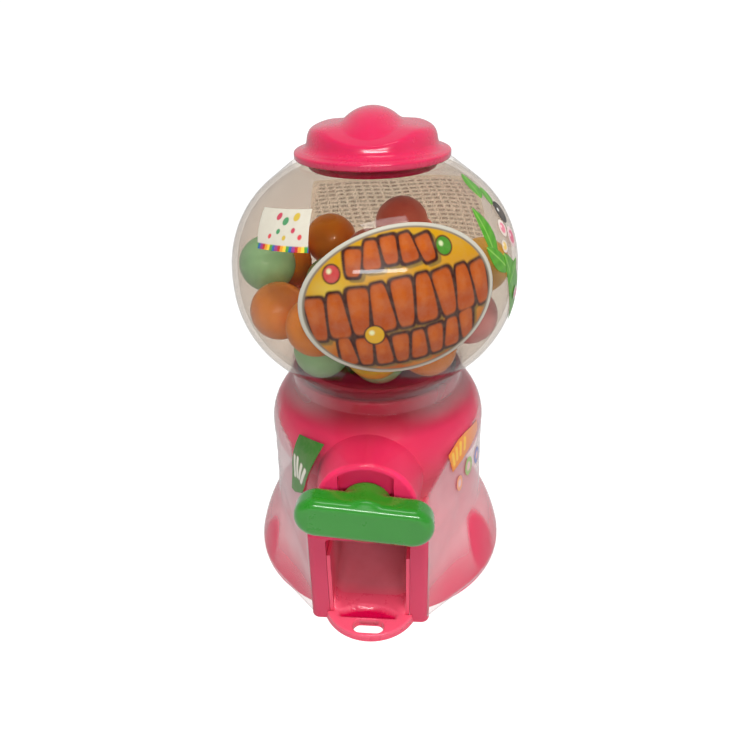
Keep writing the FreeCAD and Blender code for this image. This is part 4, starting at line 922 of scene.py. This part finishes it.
# ---------------------------------------------------------------------------
# prints on the film: generic shapes only, thin closed sheets just off the film
# ---------------------------------------------------------------------------
def print_ink(name, rough=0.36, coat=0.25, sheer_and_glow=0.0):
    n = Nodes(name)
    attr = n.add("ShaderNodeAttribute", attribute_name="ink_and_painted_light")
    grain = n.noise(520.0, 4.0, 0.6)
    base = n.mix(n.remap(grain, 0.35, 0.75, 0.0, 0.14), attr.outputs["Color"], (0.36, 0.28, 0.20))
    p = n.principled(Base_Color=base, Roughness=n.remap(n.noise(150.0), 0.3, 0.7, rough - 0.05, rough + 0.08),
                     Coat_Weight=coat, Coat_Roughness=0.04, IOR=1.46, Specular_IOR_Level=0.3,
                     Normal=n.bump(n.noise(300.0, 3.0), 0.05, 0.0001))
    if not sheer_and_glow:
        return n.finish(p.outputs[0])
    # painted light: the grey print glows in its own colour, standing in for the room light shining through it from
    # behind
    n.link(base, p.inputs["Emission Color"])
    p.inputs["Emission Strength"].default_value = 1.25
    clear = n.add("ShaderNodeBsdfTransparent")
    n.link(n.mix(0.5, base, (1.0, 1.0, 1.0)), clear.inputs["Color"])
    both = n.add("ShaderNodeMixShader")
    n.set(both.inputs[0], n.remap(grain, 0.3, 0.7, sheer_and_glow - 0.05, sheer_and_glow + 0.05))
    n.link(p.outputs[0], both.inputs[1])
    n.link(clear.outputs[0], both.inputs[2])
    return n.finish(both.outputs[0])


# the grey rear print is partly see-through and glows with painted light
INK = {key: print_ink(key, sheer_and_glow=0.66 if key == "print_grey" else 0.0)
       for key in ("print_white", "print_grey", "print_warm", "print_green", "print_colours")}
UNIT = 35.2

_BZ = np.arange(26.0, 52.01, 0.5)
_BR = np.array([section(z) for z in _BZ])


def on_body(theta_deg, z, lift):
    t = np.radians(np.asarray(theta_deg, float))
    z = np.asarray(z, float)
    zi = np.clip((z - _BZ[0]) / 0.5, 0, len(_BZ) - 1.001)
    ti = np.clip((t - THETA[0]) / (THETA[1] - THETA[0]), 0, len(THETA) - 1.001)
    z0, t0 = zi.astype(int), ti.astype(int)
    fz, ft = zi - z0, ti - t0
    r = (_BR[z0, t0] * (1 - fz) * (1 - ft) + _BR[z0 + 1, t0] * fz * (1 - ft)
         + _BR[z0, t0 + 1] * (1 - fz) * ft + _BR[z0 + 1, t0 + 1] * fz * ft) + lift
    return np.stack([r * np.sin(t), -r * np.cos(t), z], -1)


def patch(name, outline, rings, ink_and_painted_light, slot, lift=0.05, place="globe", centre=None, thick=0.03):
    """Star-shaped sheet.  outline: closed loop of (u, s) in mm on the film;
    ink(u, s) gives linear colours for arrays of points."""
    loop = np.asarray(outline, float)
    mid = np.asarray(centre, float) if centre is not None else loop.mean(0)
    m = len(loop)
    pts = [mid[None, :]]
    for k in range(1, rings + 1):
        pts.append(mid + (loop - mid) * (k / rings))
    flat = np.concatenate(pts)
    if place == "globe":
        top = on_globe(np.degrees(flat[:, 0] / UNIT), flat[:, 1], lift + thick)
        low = on_globe(np.degrees(flat[:, 0] / UNIT), flat[:, 1], lift)
    else:
        top = on_body(flat[:, 0], flat[:, 1], lift + thick)
        low = on_body(flat[:, 0], flat[:, 1], lift)
    n0 = len(flat)
    faces = []
    for j in range(m):
        j2 = (j + 1) % m
        faces.append([0, 1 + j, 1 + j2])
        faces.append([n0, n0 + 1 + j2, n0 + 1 + j])
        for k in range(rings - 1):
            a, b = 1 + k * m, 1 + (k + 1) * m
            faces.append([a + j, b + j, b + j2, a + j2])
            faces.append([n0 + a + j2, n0 + b + j2, n0 + b + j, n0 + a + j])
        a = 1 + (rings - 1) * m
        faces.append([a + j, n0 + a + j, n0 + a + j2, a + j2])
    obj = make_object(name, np.concatenate([top, low]), faces, INK[slot])
    col = np.clip(np.concatenate([ink_and_painted_light(flat[:, 0], flat[:, 1])] * 2), 0, 1)
    layer = obj.data.color_attributes.new("ink_and_painted_light", "FLOAT_COLOR", "POINT")
    layer.data.foreach_set("color", np.concatenate([col, np.ones((len(col), 1))], 1).astype(np.float32).ravel())
    return obj


def ring_points(u0, s0, a, b, turn=0.0, count=300, power=2.0):
    t = np.arange(count) * 2 * math.pi / count
    c, s = np.cos(t), np.sin(t)
    x = a * np.sign(c) * np.abs(c) ** (2 / power)
    y = b * np.sign(s) * np.abs(s) ** (2 / power)
    ct, st = math.cos(turn), math.sin(turn)
    return np.stack([u0 + x * ct - y * st, s0 + x * st + y * ct], 1)


def polygon_points(corners, step=0.35):
    """Closed loop through the corners with points spaced evenly along the edges."""
    out = []
    for p, q in zip(corners, corners[1:] + corners[:1]):
        k = max(1, int(math.hypot(q[0] - p[0], q[1] - p[1]) / step))
        out += [(p[0] + (q[0] - p[0]) * i / k, p[1] + (q[1] - p[1]) * i / k) for i in range(k)]
    return out


def lay(base, mask, colour):
    m = np.clip(mask, 0, 1)[:, None]
    return base * (1 - m) + np.array(colour) * m


def soft_edge(d, width=0.12):
    """1 inside (d < 0), 0 outside."""
    return np.clip(0.5 - d / (2 * width), 0, 1)


# front oval: candy shapes in rows on a yellow to orange ground
OVAL = dict(u=8.99, s=4.61, a=22.85, b=16.45, turn=math.radians(8.2))


def oval_local(u, s):
    c, t = math.cos(OVAL["turn"]), math.sin(OVAL["turn"])
    x, y = u - OVAL["u"], s - OVAL["s"]
    return x * c + y * t, -x * t + y * c


CANDY_ROWS = []          # (x, y, half width, half height, lean, taper) in the oval's own axes
for k in range(5):
    x = -9.3 + 4.2 * k
    CANDY_ROWS.append((x, 11.4 - 0.02 * (x + 1) ** 2, 1.72, (2.7, 2.9, 2.8, 2.9, 2.7)[k], -0.10 + 0.05 * k, 0.08 * (-1) ** k))
for k in range(9):
    x = -18.7 + 4.68 * k
    CANDY_ROWS.append((x, 0.3 - 0.004 * x * x, 1.98, 4.5 + 0.5 * math.sin(math.pi * (k + 0.5) / 9), 0.06 * math.sin(k * 2.3 + 0.5),
                       0.10 * (-1) ** k))
for k in range(8):
    x = -13.5 + 3.86 * k
    CANDY_ROWS.append((x, -9.7 + 0.005 * x * x, 1.56, 3.4, 0.05 * math.cos(k * 2.7), -0.08 * (-1) ** k))
BALLS_ON_TOP = [(-14.2, 8.3, 1.75, srgb(206, 66, 84)), (11.9, 9.2, 1.85, srgb(66, 140, 40)), (-7.0, -5.4, 1.95, srgb(224, 164, 20))]


def oval_ink(u, s):
    x, y = oval_local(u, s)
    e = np.hypot(x / OVAL["a"], y / OVAL["b"])
    depth = (1 - e) * OVAL["b"]
    tone = np.clip((y + 12) / 22, 0, 1)[:, None]
    base = np.array(srgb(190, 84, 14)) * (1 - tone) + np.array(srgb(212, 152, 8)) * tone
    glow = np.clip(1 - np.hypot((x + 15) / 7, (y - 5) / 4), 0, 1)
    base = lay(base, 0.6 * glow, srgb(232, 206, 110))
    streak = 0.5 + 0.5 * np.sin(x * 0.55 + 1.2 * np.sin(y * 0.4))
    base = lay(base, 0.18 * streak * (y < 3), srgb(240, 200, 110))
    # soft shadow behind the shapes, then outline, then fill
    for dx, dy, grow, colour, share in ((0.75, -0.75, 0.55, srgb(120, 96, 56), 0.8), (0.0, 0.0, 0.72, srgb(58, 14, 6), 1.0),
                                        (0.0, 0.0, 0.0, srgb(184, 78, 12), 1.0)):
        for cx, cy, w, h, lean, taper in CANDY_ROWS:
            lx, ly = x - cx - dx, y - cy - dy
            px, py = lx * math.cos(lean) + ly * math.sin(lean), -lx * math.sin(lean) + ly * math.cos(lean)
            px = px / (1 + taper * 2.2 * np.clip(py / h, -1, 1))
            d = (np.abs(px / (w + grow)) ** 5.0 + np.abs(py / (h + grow)) ** 5.0) ** (1 / 5.0) - 1
            d = d * (w + grow)
            base = lay(base, share * soft_edge(d), colour)
            if grow == 0.0:
                base = lay(base, 0.45 * soft_edge(np.hypot((px + 0.25 * w) / (0.55 * w), (py - 0.3 * h) / (0.5 * h)) - 1, 0.4),
                           srgb(212, 102, 26))
                base = lay(base, 0.5 * soft_edge(np.abs(py + 0.55 * h) / (0.3 * h) - 1, 0.5) * soft_edge(d + 0.1),
                           srgb(168, 62, 14))
    for cx, cy, rad, colour in BALLS_ON_TOP:
        d = np.hypot(x - cx, y - cy) - rad
        base = lay(base, soft_edge(d - 0.35), srgb(84, 34, 14))
        base = lay(base, soft_edge(d), colour)
        base = lay(base, 0.8 * soft_edge(np.hypot(x - cx + 0.5, y - cy - 0.6) - 0.55, 0.2), (0.9, 0.88, 0.85))
    base = base * np.array([0.74, 0.80, 0.48])
    # rim: grey line inside a pale border
    base = lay(base, soft_edge(depth - 1.15), srgb(116, 104, 88))
    base = lay(base, soft_edge(depth - 0.75), srgb(184, 180, 166))
    base = lay(base, 0.35 * soft_edge(y + 12.5, 1.5) * soft_edge(depth - 0.75), srgb(150, 120, 100))
    return base


patch("print_front_oval", ring_points(OVAL["u"], OVAL["s"], OVAL["a"], OVAL["b"], OVAL["turn"], 420), 120,
      oval_ink, "print_warm", centre=(OVAL["u"], OVAL["s"]))


# small tilted plain label with a striped foot and coloured dots
def deg(t, s):
    return (math.radians(t) * UNIT, s)


CARD = [deg(-54.4, 21.6), deg(-24.2, 24.0), deg(-19.8, 14.5), deg(-45.1, 12.95)]
STRIPE = [srgb(190, 40, 40), srgb(226, 150, 40), srgb(236, 200, 60), srgb(70, 150, 60), srgb(40, 90, 160), srgb(150, 50, 130)]


def card_ink(u, s):
    a, b, c, d = (np.array(p) for p in CARD)
    down = (d - a) / np.linalg.norm(d - a)
    along = (c - d) / np.linalg.norm(c - d)
    rel = np.stack([u, s], 1) - d
    v = rel @ np.array([-along[1], along[0]])
    w = rel @ along
    base = np.tile(np.array(srgb(206, 200, 184)), (len(u), 1))
    band = soft_edge(v - 1.25, 0.1)
    idx = np.floor(w / 0.85 + 40).astype(int) % len(STRIPE)
    base = base * (1 - band[:, None]) + np.array(STRIPE)[idx] * band[:, None]
    for k, (x, y, r) in enumerate(((3.2, 3.0, 0.55), (5.6, 4.2, 0.6), (8.0, 2.9, 0.55), (10.2, 4.6, 0.6), (12.6, 3.2, 0.6),
                                   (6.9, 6.6, 0.95), (10.0, 7.7, 1.0), (4.0, 7.6, 0.9))):
        dd = np.hypot(w - x, v - y) - r
        base = lay(base, soft_edge(dd, 0.1), (srgb(206, 60, 70), srgb(60, 140, 90), srgb(200, 170, 60), srgb(190, 50, 80))[k % 4])
    return base


patch("print_small_card", polygon_points(CARD, 0.2), 46, card_ink, "print_white")


# green leaves and pastel spots on the right flank
def blade(u0, s0, u1, s1, width, count=90, bend=0.0):
    """Leaf outline between two points with a given greatest width."""
    t = np.linspace(0, 1, count // 2)
    w = width * np.sin(np.pi * t) ** 0.75 / 2
    dx, dy = u1 - u0, s1 - s0
    ln = math.hypot(dx, dy)
    nx, ny = -dy / ln, dx / ln
    mid = bend * np.sin(np.pi * t)
    left = np.stack([u0 + dx * t + nx * (w + mid), s0 + dy * t + ny * (w + mid)], 1)
    right = np.stack([u0 + dx * t - nx * (w - mid), s0 + dy * t - ny * (w - mid)], 1)
    return np.concatenate([left, right[::-1][1:-1]])


def leaf_ink(p0, p1):
    p0, p1 = np.array(p0), np.array(p1)

    def ink_and_painted_light(u, s):
        rel = np.stack([u, s], 1) - p0
        d = (p1 - p0) / np.linalg.norm(p1 - p0)
        along, across = rel @ d, rel @ np.array([-d[1], d[0]])
        base = np.tile(np.array(srgb(74, 150, 20)), (len(u), 1))
        shade = 0.5 + 0.5 * np.sin(along * 2.2 + np.abs(across) * 2.0)
        base = lay(base, 0.45 * shade, srgb(48, 118, 26))
        base = lay(base, 0.7 * soft_edge(np.abs(across) - 0.14, 0.12), srgb(150, 200, 90))
        return base
    return ink_and_painted_light


LEAVES = (((72.4, 29.6), (66.0, 22.6), 5.4, 0.2), ((76.0, 24.6), (70.8, 19.9), 3.6, 0.0),
          ((54.0, 21.6), (55.4, 8.6), 4.4, 0.6), ((51.4, 12.6), (64.0, 5.4), 4.2, -0.4),
          ((61.4, 9.8), (73.6, -9.4), 6.6, 1.2), ((63.5, 2.2), (73.2, 6.6), 3.4, 0.0))
for k, (a, b, width, bend) in enumerate(LEAVES):
    pa, pb = deg(*a), deg(*b)
    patch("print_leaf_%d" % (k + 1), blade(pa[0], pa[1], pb[0], pb[1], width, 110, bend), 10, leaf_ink(pa, pb),
          "print_green", lift=0.045 + 0.035 * k)


def spot_ink(u0, s0, r, inner, outer):
    def ink_and_painted_light(u, s):
        d = np.hypot(u - u0, s - s0)
        base = np.tile(np.array(outer), (len(u), 1))
        base = lay(base, soft_edge(d - 0.72 * r, 0.15), inner)
        return lay(base, 0.7 * soft_edge(np.hypot(u - u0 + 0.3 * r, s - s0 - 0.3 * r) - 0.2 * r, 0.1), (0.9, 0.9, 0.88))
    return ink_and_painted_light


SPOTS = ((73.6, 17.6, 2.4, srgb(60, 52, 48), srgb(40, 34, 32)), (67.2, 14.6, 1.7, srgb(220, 120, 140), srgb(226, 210, 200)),
         (63.2, 11.0, 1.25, srgb(226, 190, 90), srgb(214, 200, 190)), (72.6, 11.6, 2.1, srgb(206, 90, 120), srgb(220, 190, 190)),
         (70.6, -1.2, 1.4, srgb(214, 120, 150), srgb(190, 190, 170)))
for k, (t, s, r, inner, outer) in enumerate(SPOTS):
    u0, s0 = deg(t, s)
    patch("print_spot_%d" % (k + 1), ring_points(u0, s0, r, r * 1.15, 0.0, 72), 14, spot_ink(u0, s0, r, inner, outer),
          "print_colours", lift=0.30 + 0.035 * k)

# rear panel: pale ground with rows of plain grey bars, wavy lower edge
REAR_TOP = [(-143.0, 16.9), (-160.0, 16.4), (-183.7, 16.2), (-210.0, 18.6), (-235.2, 20.4)]
REAR_LOW = [(-234.0, 1.0), (-226.0, -0.4), (-215.0, 0.6), (-203.0, -1.8), (-187.5, -3.0), (-172.0, -1.4), (-158.0, -0.9), (-144.5, -0.4)]


def rear_ink(u, s):
    t = np.degrees(u / UNIT)
    top = np.interp(-t, [-p[0] for p in REAR_TOP], [p[1] for p in REAR_TOP])
    base = np.tile(np.array(srgb(232, 228, 218)), (len(u), 1))
    row = (top - s - 1.2) / 1.25
    line = np.floor(row)
    in_row = np.abs(row - line - 0.5) < 0.27
    word = np.sin(t * 1.35 + line * 7.1) + 0.6 * np.sin(t * 3.1 + line * 2.3)
    on = in_row & (word > -0.55) & (row > 0) & (t < -146) & (t > -232) & (s > 0.4)
    tick = 0.6 + 0.4 * (np.sin(t * 9.0 + line) > -0.2)
    return lay(base, np.where(on, 0.62 * tick, 0.0), srgb(120, 116, 112))


outline = [deg(*p) for p in REAR_TOP] + [deg(*p) for p in REAR_LOW]
patch("print_rear_panel", polygon_points(outline, 0.35), 110, rear_ink, "print_grey", lift=0.05,
      centre=deg(-189, 9.0))

# rounded strokes on a green patch at the body's left, orange swash at the right
GREEN_PATCH = [(-38.6, 48.6), (-20.4, 50.0), (-29.8, 35.6), (-37.4, 33.0), (-42.0, 32.4), (-42.0, 40.0)]


def stroke_mask(t, z, t0, z0, t1, z1, half):
    a = np.array([math.radians(t0) * 29, z0])
    b = np.array([math.radians(t1) * 29, z1])
    p = np.stack([np.radians(t) * 29, z], 1)
    h = np.clip(((p - a) @ (b - a)) / ((b - a) @ (b - a)), 0, 1)[:, None]
    return soft_edge(np.linalg.norm(p - a - (b - a) * h, axis=1) - half, 0.1)


def green_ink(t, z):
    base = np.tile(np.array(srgb(58, 122, 30)), (len(t), 1))
    base = lay(base, 0.5 * np.clip((z - 36) / 12, 0, 1), srgb(38, 92, 26))
    for k, (t0, z0, t1, z1) in enumerate(((-38.8, 43.0, -38.6, 37.4), (-35.6, 43.4, -36.0, 38.0), (-31.6, 42.8, -34.0, 38.2), (-28.2, 42.6, -32.0, 37.8))):
        base = lay(base, stroke_mask(t, z, t0, z0, t1, z1, 0.72), srgb(92, 110, 60))
        base = lay(base, stroke_mask(t, z, t0, z0, t1, z1, 0.48), srgb(226, 222, 206))
    return base


patch("print_green_patch", polygon_points([(t, z) for t, z in GREEN_PATCH], 0.45), 34, green_ink, "print_green",
      lift=0.16, place="body", centre=(-35.6, 40.6))
SWASH = [(40.0, 44.0), (43.2, 38.2), (52.2, 39.4), (64.0, 42.4), (69.0, 43.8), (69.6, 46.6), (56.0, 46.6), (49.5, 46.0)]


def swash_ink(t, z):
    fade = np.clip((t - 48) / 20, 0, 1)
    base = np.tile(np.array(srgb(226, 130, 30)), (len(t), 1))
    base = lay(base, 0.75 * fade, srgb(214, 150, 130))
    for t0, z0, t1, z1 in ((43.6, 43.4, 44.6, 40.2), (46.8, 44.2, 47.2, 41.0), (50.6, 44.8, 50.2, 41.6), (54.6, 45.2, 54.0, 42.2)):
        base = lay(base, 0.8 * stroke_mask(t, z, t0, z0, t1, z1, 0.5), srgb(234, 190, 60))
    return base


patch("print_orange_swash", polygon_points(SWASH, 0.45), 26, swash_ink, "print_warm", lift=0.16, place="body",
      centre=(52.0, 43.0))
for k, (t, z, r, colour) in enumerate(((58.7, 35.4, 1.9, srgb(150, 178, 110)), (68.6, 35.8, 1.7, srgb(120, 132, 186)),
                                       (48.9, 33.2, 1.5, srgb(222, 150, 110)))):
    loop = [(t + math.degrees(r * math.cos(a) / 30), z + 1.5 * r * math.sin(a)) for a in np.linspace(0, 2 * math.pi, 49)[:-1]]

    def body_spot(tt, zz, t=t, z=z, r=r, colour=colour):
        d = np.hypot(np.radians(tt - t) * 30, (zz - z) / 1.5)
        base = np.tile(np.array(colour), (len(tt), 1))
        return lay(base, soft_edge(d - 0.5 * r, 0.2), srgb(222, 176, 178))
    patch("print_body_spot_%d" % (k + 1), loop, 12, body_spot, "print_colours", lift=0.17 + 0.03 * k, place="body",
          centre=(t, z))


# ---------------------------------------------------------------------------
# gumballs: slightly uneven sugar shells inside each ball's true radius
# ---------------------------------------------------------------------------
def build_ball(index, mat):
    key = "gumball_%02d" % index
    lo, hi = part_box(key)
    centre = (lo + hi) / 2 / MM
    radius = (hi.x - lo.x) / 2 / MM
    bm = bmesh.new()
    bmesh.ops.create_icosphere(bm, subdivisions=5, radius=1.0)
    seed = Vector((index * 3.7, index * 1.3, index * 5.1))
    for v in bm.verts:
        d = v.co.normalized()
        low = noise.noise(d * 1.3 + seed)
        fine = noise.noise(d * 4.5 + seed)
        dent = max(0.0, noise.noise(d * 2.1 - seed) - 0.25)
        v.co = d * (radius - 0.02 - 0.10 * (0.5 + 0.5 * low) - 0.03 * (0.5 + 0.5 * fine) - 0.25 * dent)
    verts = [(v.co.x + centre.x, v.co.y + centre.y, v.co.z + centre.z) for v in bm.verts]
    bm.verts.index_update()
    faces = [[v.index for v in f.verts] for f in bm.faces]
    bm.free()
    return make_object("candy_%02d" % index, verts, faces, mat, replaces=(key,))


for k in range(1, 34):
    key = "gumball_%02d" % k
    tone = BALL_COLOUR[key]
    build_ball(k, frame["nodes"][key].material_slots[0].material)


# ---------------------------------------------------------------------------
# camera, lights, floor
# ---------------------------------------------------------------------------
cam_data = bpy.data.cameras.new("Camera")
cam_data.lens = 32.22
cam_data.sensor_width = 36.0
cam_data.clip_start = 0.01
cam_data.clip_end = 20.0
camera = bpy.data.objects.new("Camera", cam_data)
camera.matrix_world = Matrix((
    (0.99646853, -0.02248151, 0.08090143, 0.01423653),
    (0.0816887, 0.4824773, -0.87209094, -0.15965755),
    (-0.01942718, 0.87561992, 0.48260993, 0.141995),
    (0, 0, 0, 1)))
scene.collection.objects.link(camera)
scene.camera = camera


def area(name, azimuth, elevation, distance, width, height, power, colour=(1, 1, 1), aim=(0, 0, 0.065)):
    """Softbox at a direction seen from the object: azimuth from -Y towards +X."""
    a, e = math.radians(azimuth), math.radians(elevation)
    direction = Vector((math.sin(a) * math.cos(e), -math.cos(a) * math.cos(e), math.sin(e)))
    light = bpy.data.lights.new(name, "AREA")
    light.shape = "RECTANGLE"
    light.size, light.size_y = width, height
    light.energy = power
    light.color = colour
    obj = bpy.data.objects.new(name, light)
    obj.location = Vector(aim) + direction * distance
    obj.rotation_euler = direction.to_track_quat("Z", "Y").to_euler()
    scene.collection.objects.link(obj)
    return obj


area("key_overhead", 25, 72, 0.9, 0.44, 0.12, 0.75)
area("front_strip", 9, 26, 0.9, 0.62, 0.05, 3.7)
for fill in (area("key_soft", 18, 69, 0.9, 0.34, 0.34, 5.5), area("fill_left", -62, 30, 1.0, 0.5, 0.5, 1.3),
             area("fill_right", 72, 22, 1.0, 0.5, 0.5, 1.5)):
    fill.visible_glossy = False

world = bpy.data.worlds.new("Studio")
scene.world = world
world.use_nodes = True
wt = world.node_tree
wt.nodes.clear()
w_out = wt.nodes.new("ShaderNodeOutputWorld")
w_bg = wt.nodes.new("ShaderNodeBackground")
w_bg.inputs["Color"].default_value = (1.0, 1.0, 1.0, 1.0)
w_path = wt.nodes.new("ShaderNodeLightPath")
w_mix = wt.nodes.new("ShaderNodeMapRange")
w_mix.inputs["To Max"].default_value = 1.05
# the room is pale behind and beside the object and darker in front and overhead
w_dir = wt.nodes.new("ShaderNodeTexCoord")
w_xyz = wt.nodes.new("ShaderNodeSeparateXYZ")
wt.links.new(w_dir.outputs["Generated"], w_xyz.inputs[0])
w_up = wt.nodes.new("ShaderNodeMath")
w_up.operation = "MULTIPLY_ADD"
w_up.inputs[1].default_value = -0.7
wt.links.new(w_xyz.outputs["Z"], w_up.inputs[0])
wt.links.new(w_xyz.outputs["Y"], w_up.inputs[2])
w_room = wt.nodes.new("ShaderNodeMapRange")
w_room.interpolation_type = "SMOOTHSTEP"
for key, number in (("From Min", -1.0), ("From Max", 0.6), ("To Min", 0.15), ("To Max", 0.55)):
    w_room.inputs[key].default_value = number
wt.links.new(w_up.outputs[0], w_room.inputs["Value"])
wt.links.new(w_room.outputs["Result"], w_mix.inputs["To Min"])
wt.links.new(w_path.outputs["Is Camera Ray"], w_mix.inputs["Value"])
wt.links.new(w_mix.outputs["Result"], w_bg.inputs["Strength"])
wt.links.new(w_bg.outputs[0], w_out.inputs[0])

bm = bmesh.new()
bmesh.ops.create_circle(bm, cap_ends=True, radius=3.0, segments=96)
floor_mesh = bpy.data.meshes.new("floor")
bm.to_mesh(floor_mesh)
bm.free()
floor = bpy.data.objects.new("floor", floor_mesh)
floor.location = (0, 0, -0.0002)
scene.collection.objects.link(floor)
n = Nodes("floor_white")
path = n.add("ShaderNodeLightPath")
p = n.principled(Base_Color=(0.30, 0.30, 0.30), Roughness=0.85, Specular_IOR_Level=0.2)
p.inputs["Emission Color"].default_value = (1, 1, 1, 1)
n.set(p.inputs["Emission Strength"], n.remap(path.outputs["Is Camera Ray"], 0.0, 1.0, 0.34, 0.95))
floor_mesh.materials.append(n.finish(p.outputs[0]))

scene.view_settings.view_transform = "Standard"
scene.view_settings.look = "None"
scene.cycles.transparent_max_bounces = 48
scene.cycles.max_bounces = 10
scene.cycles.caustics_reflective = False
scene.cycles.caustics_refractive = False
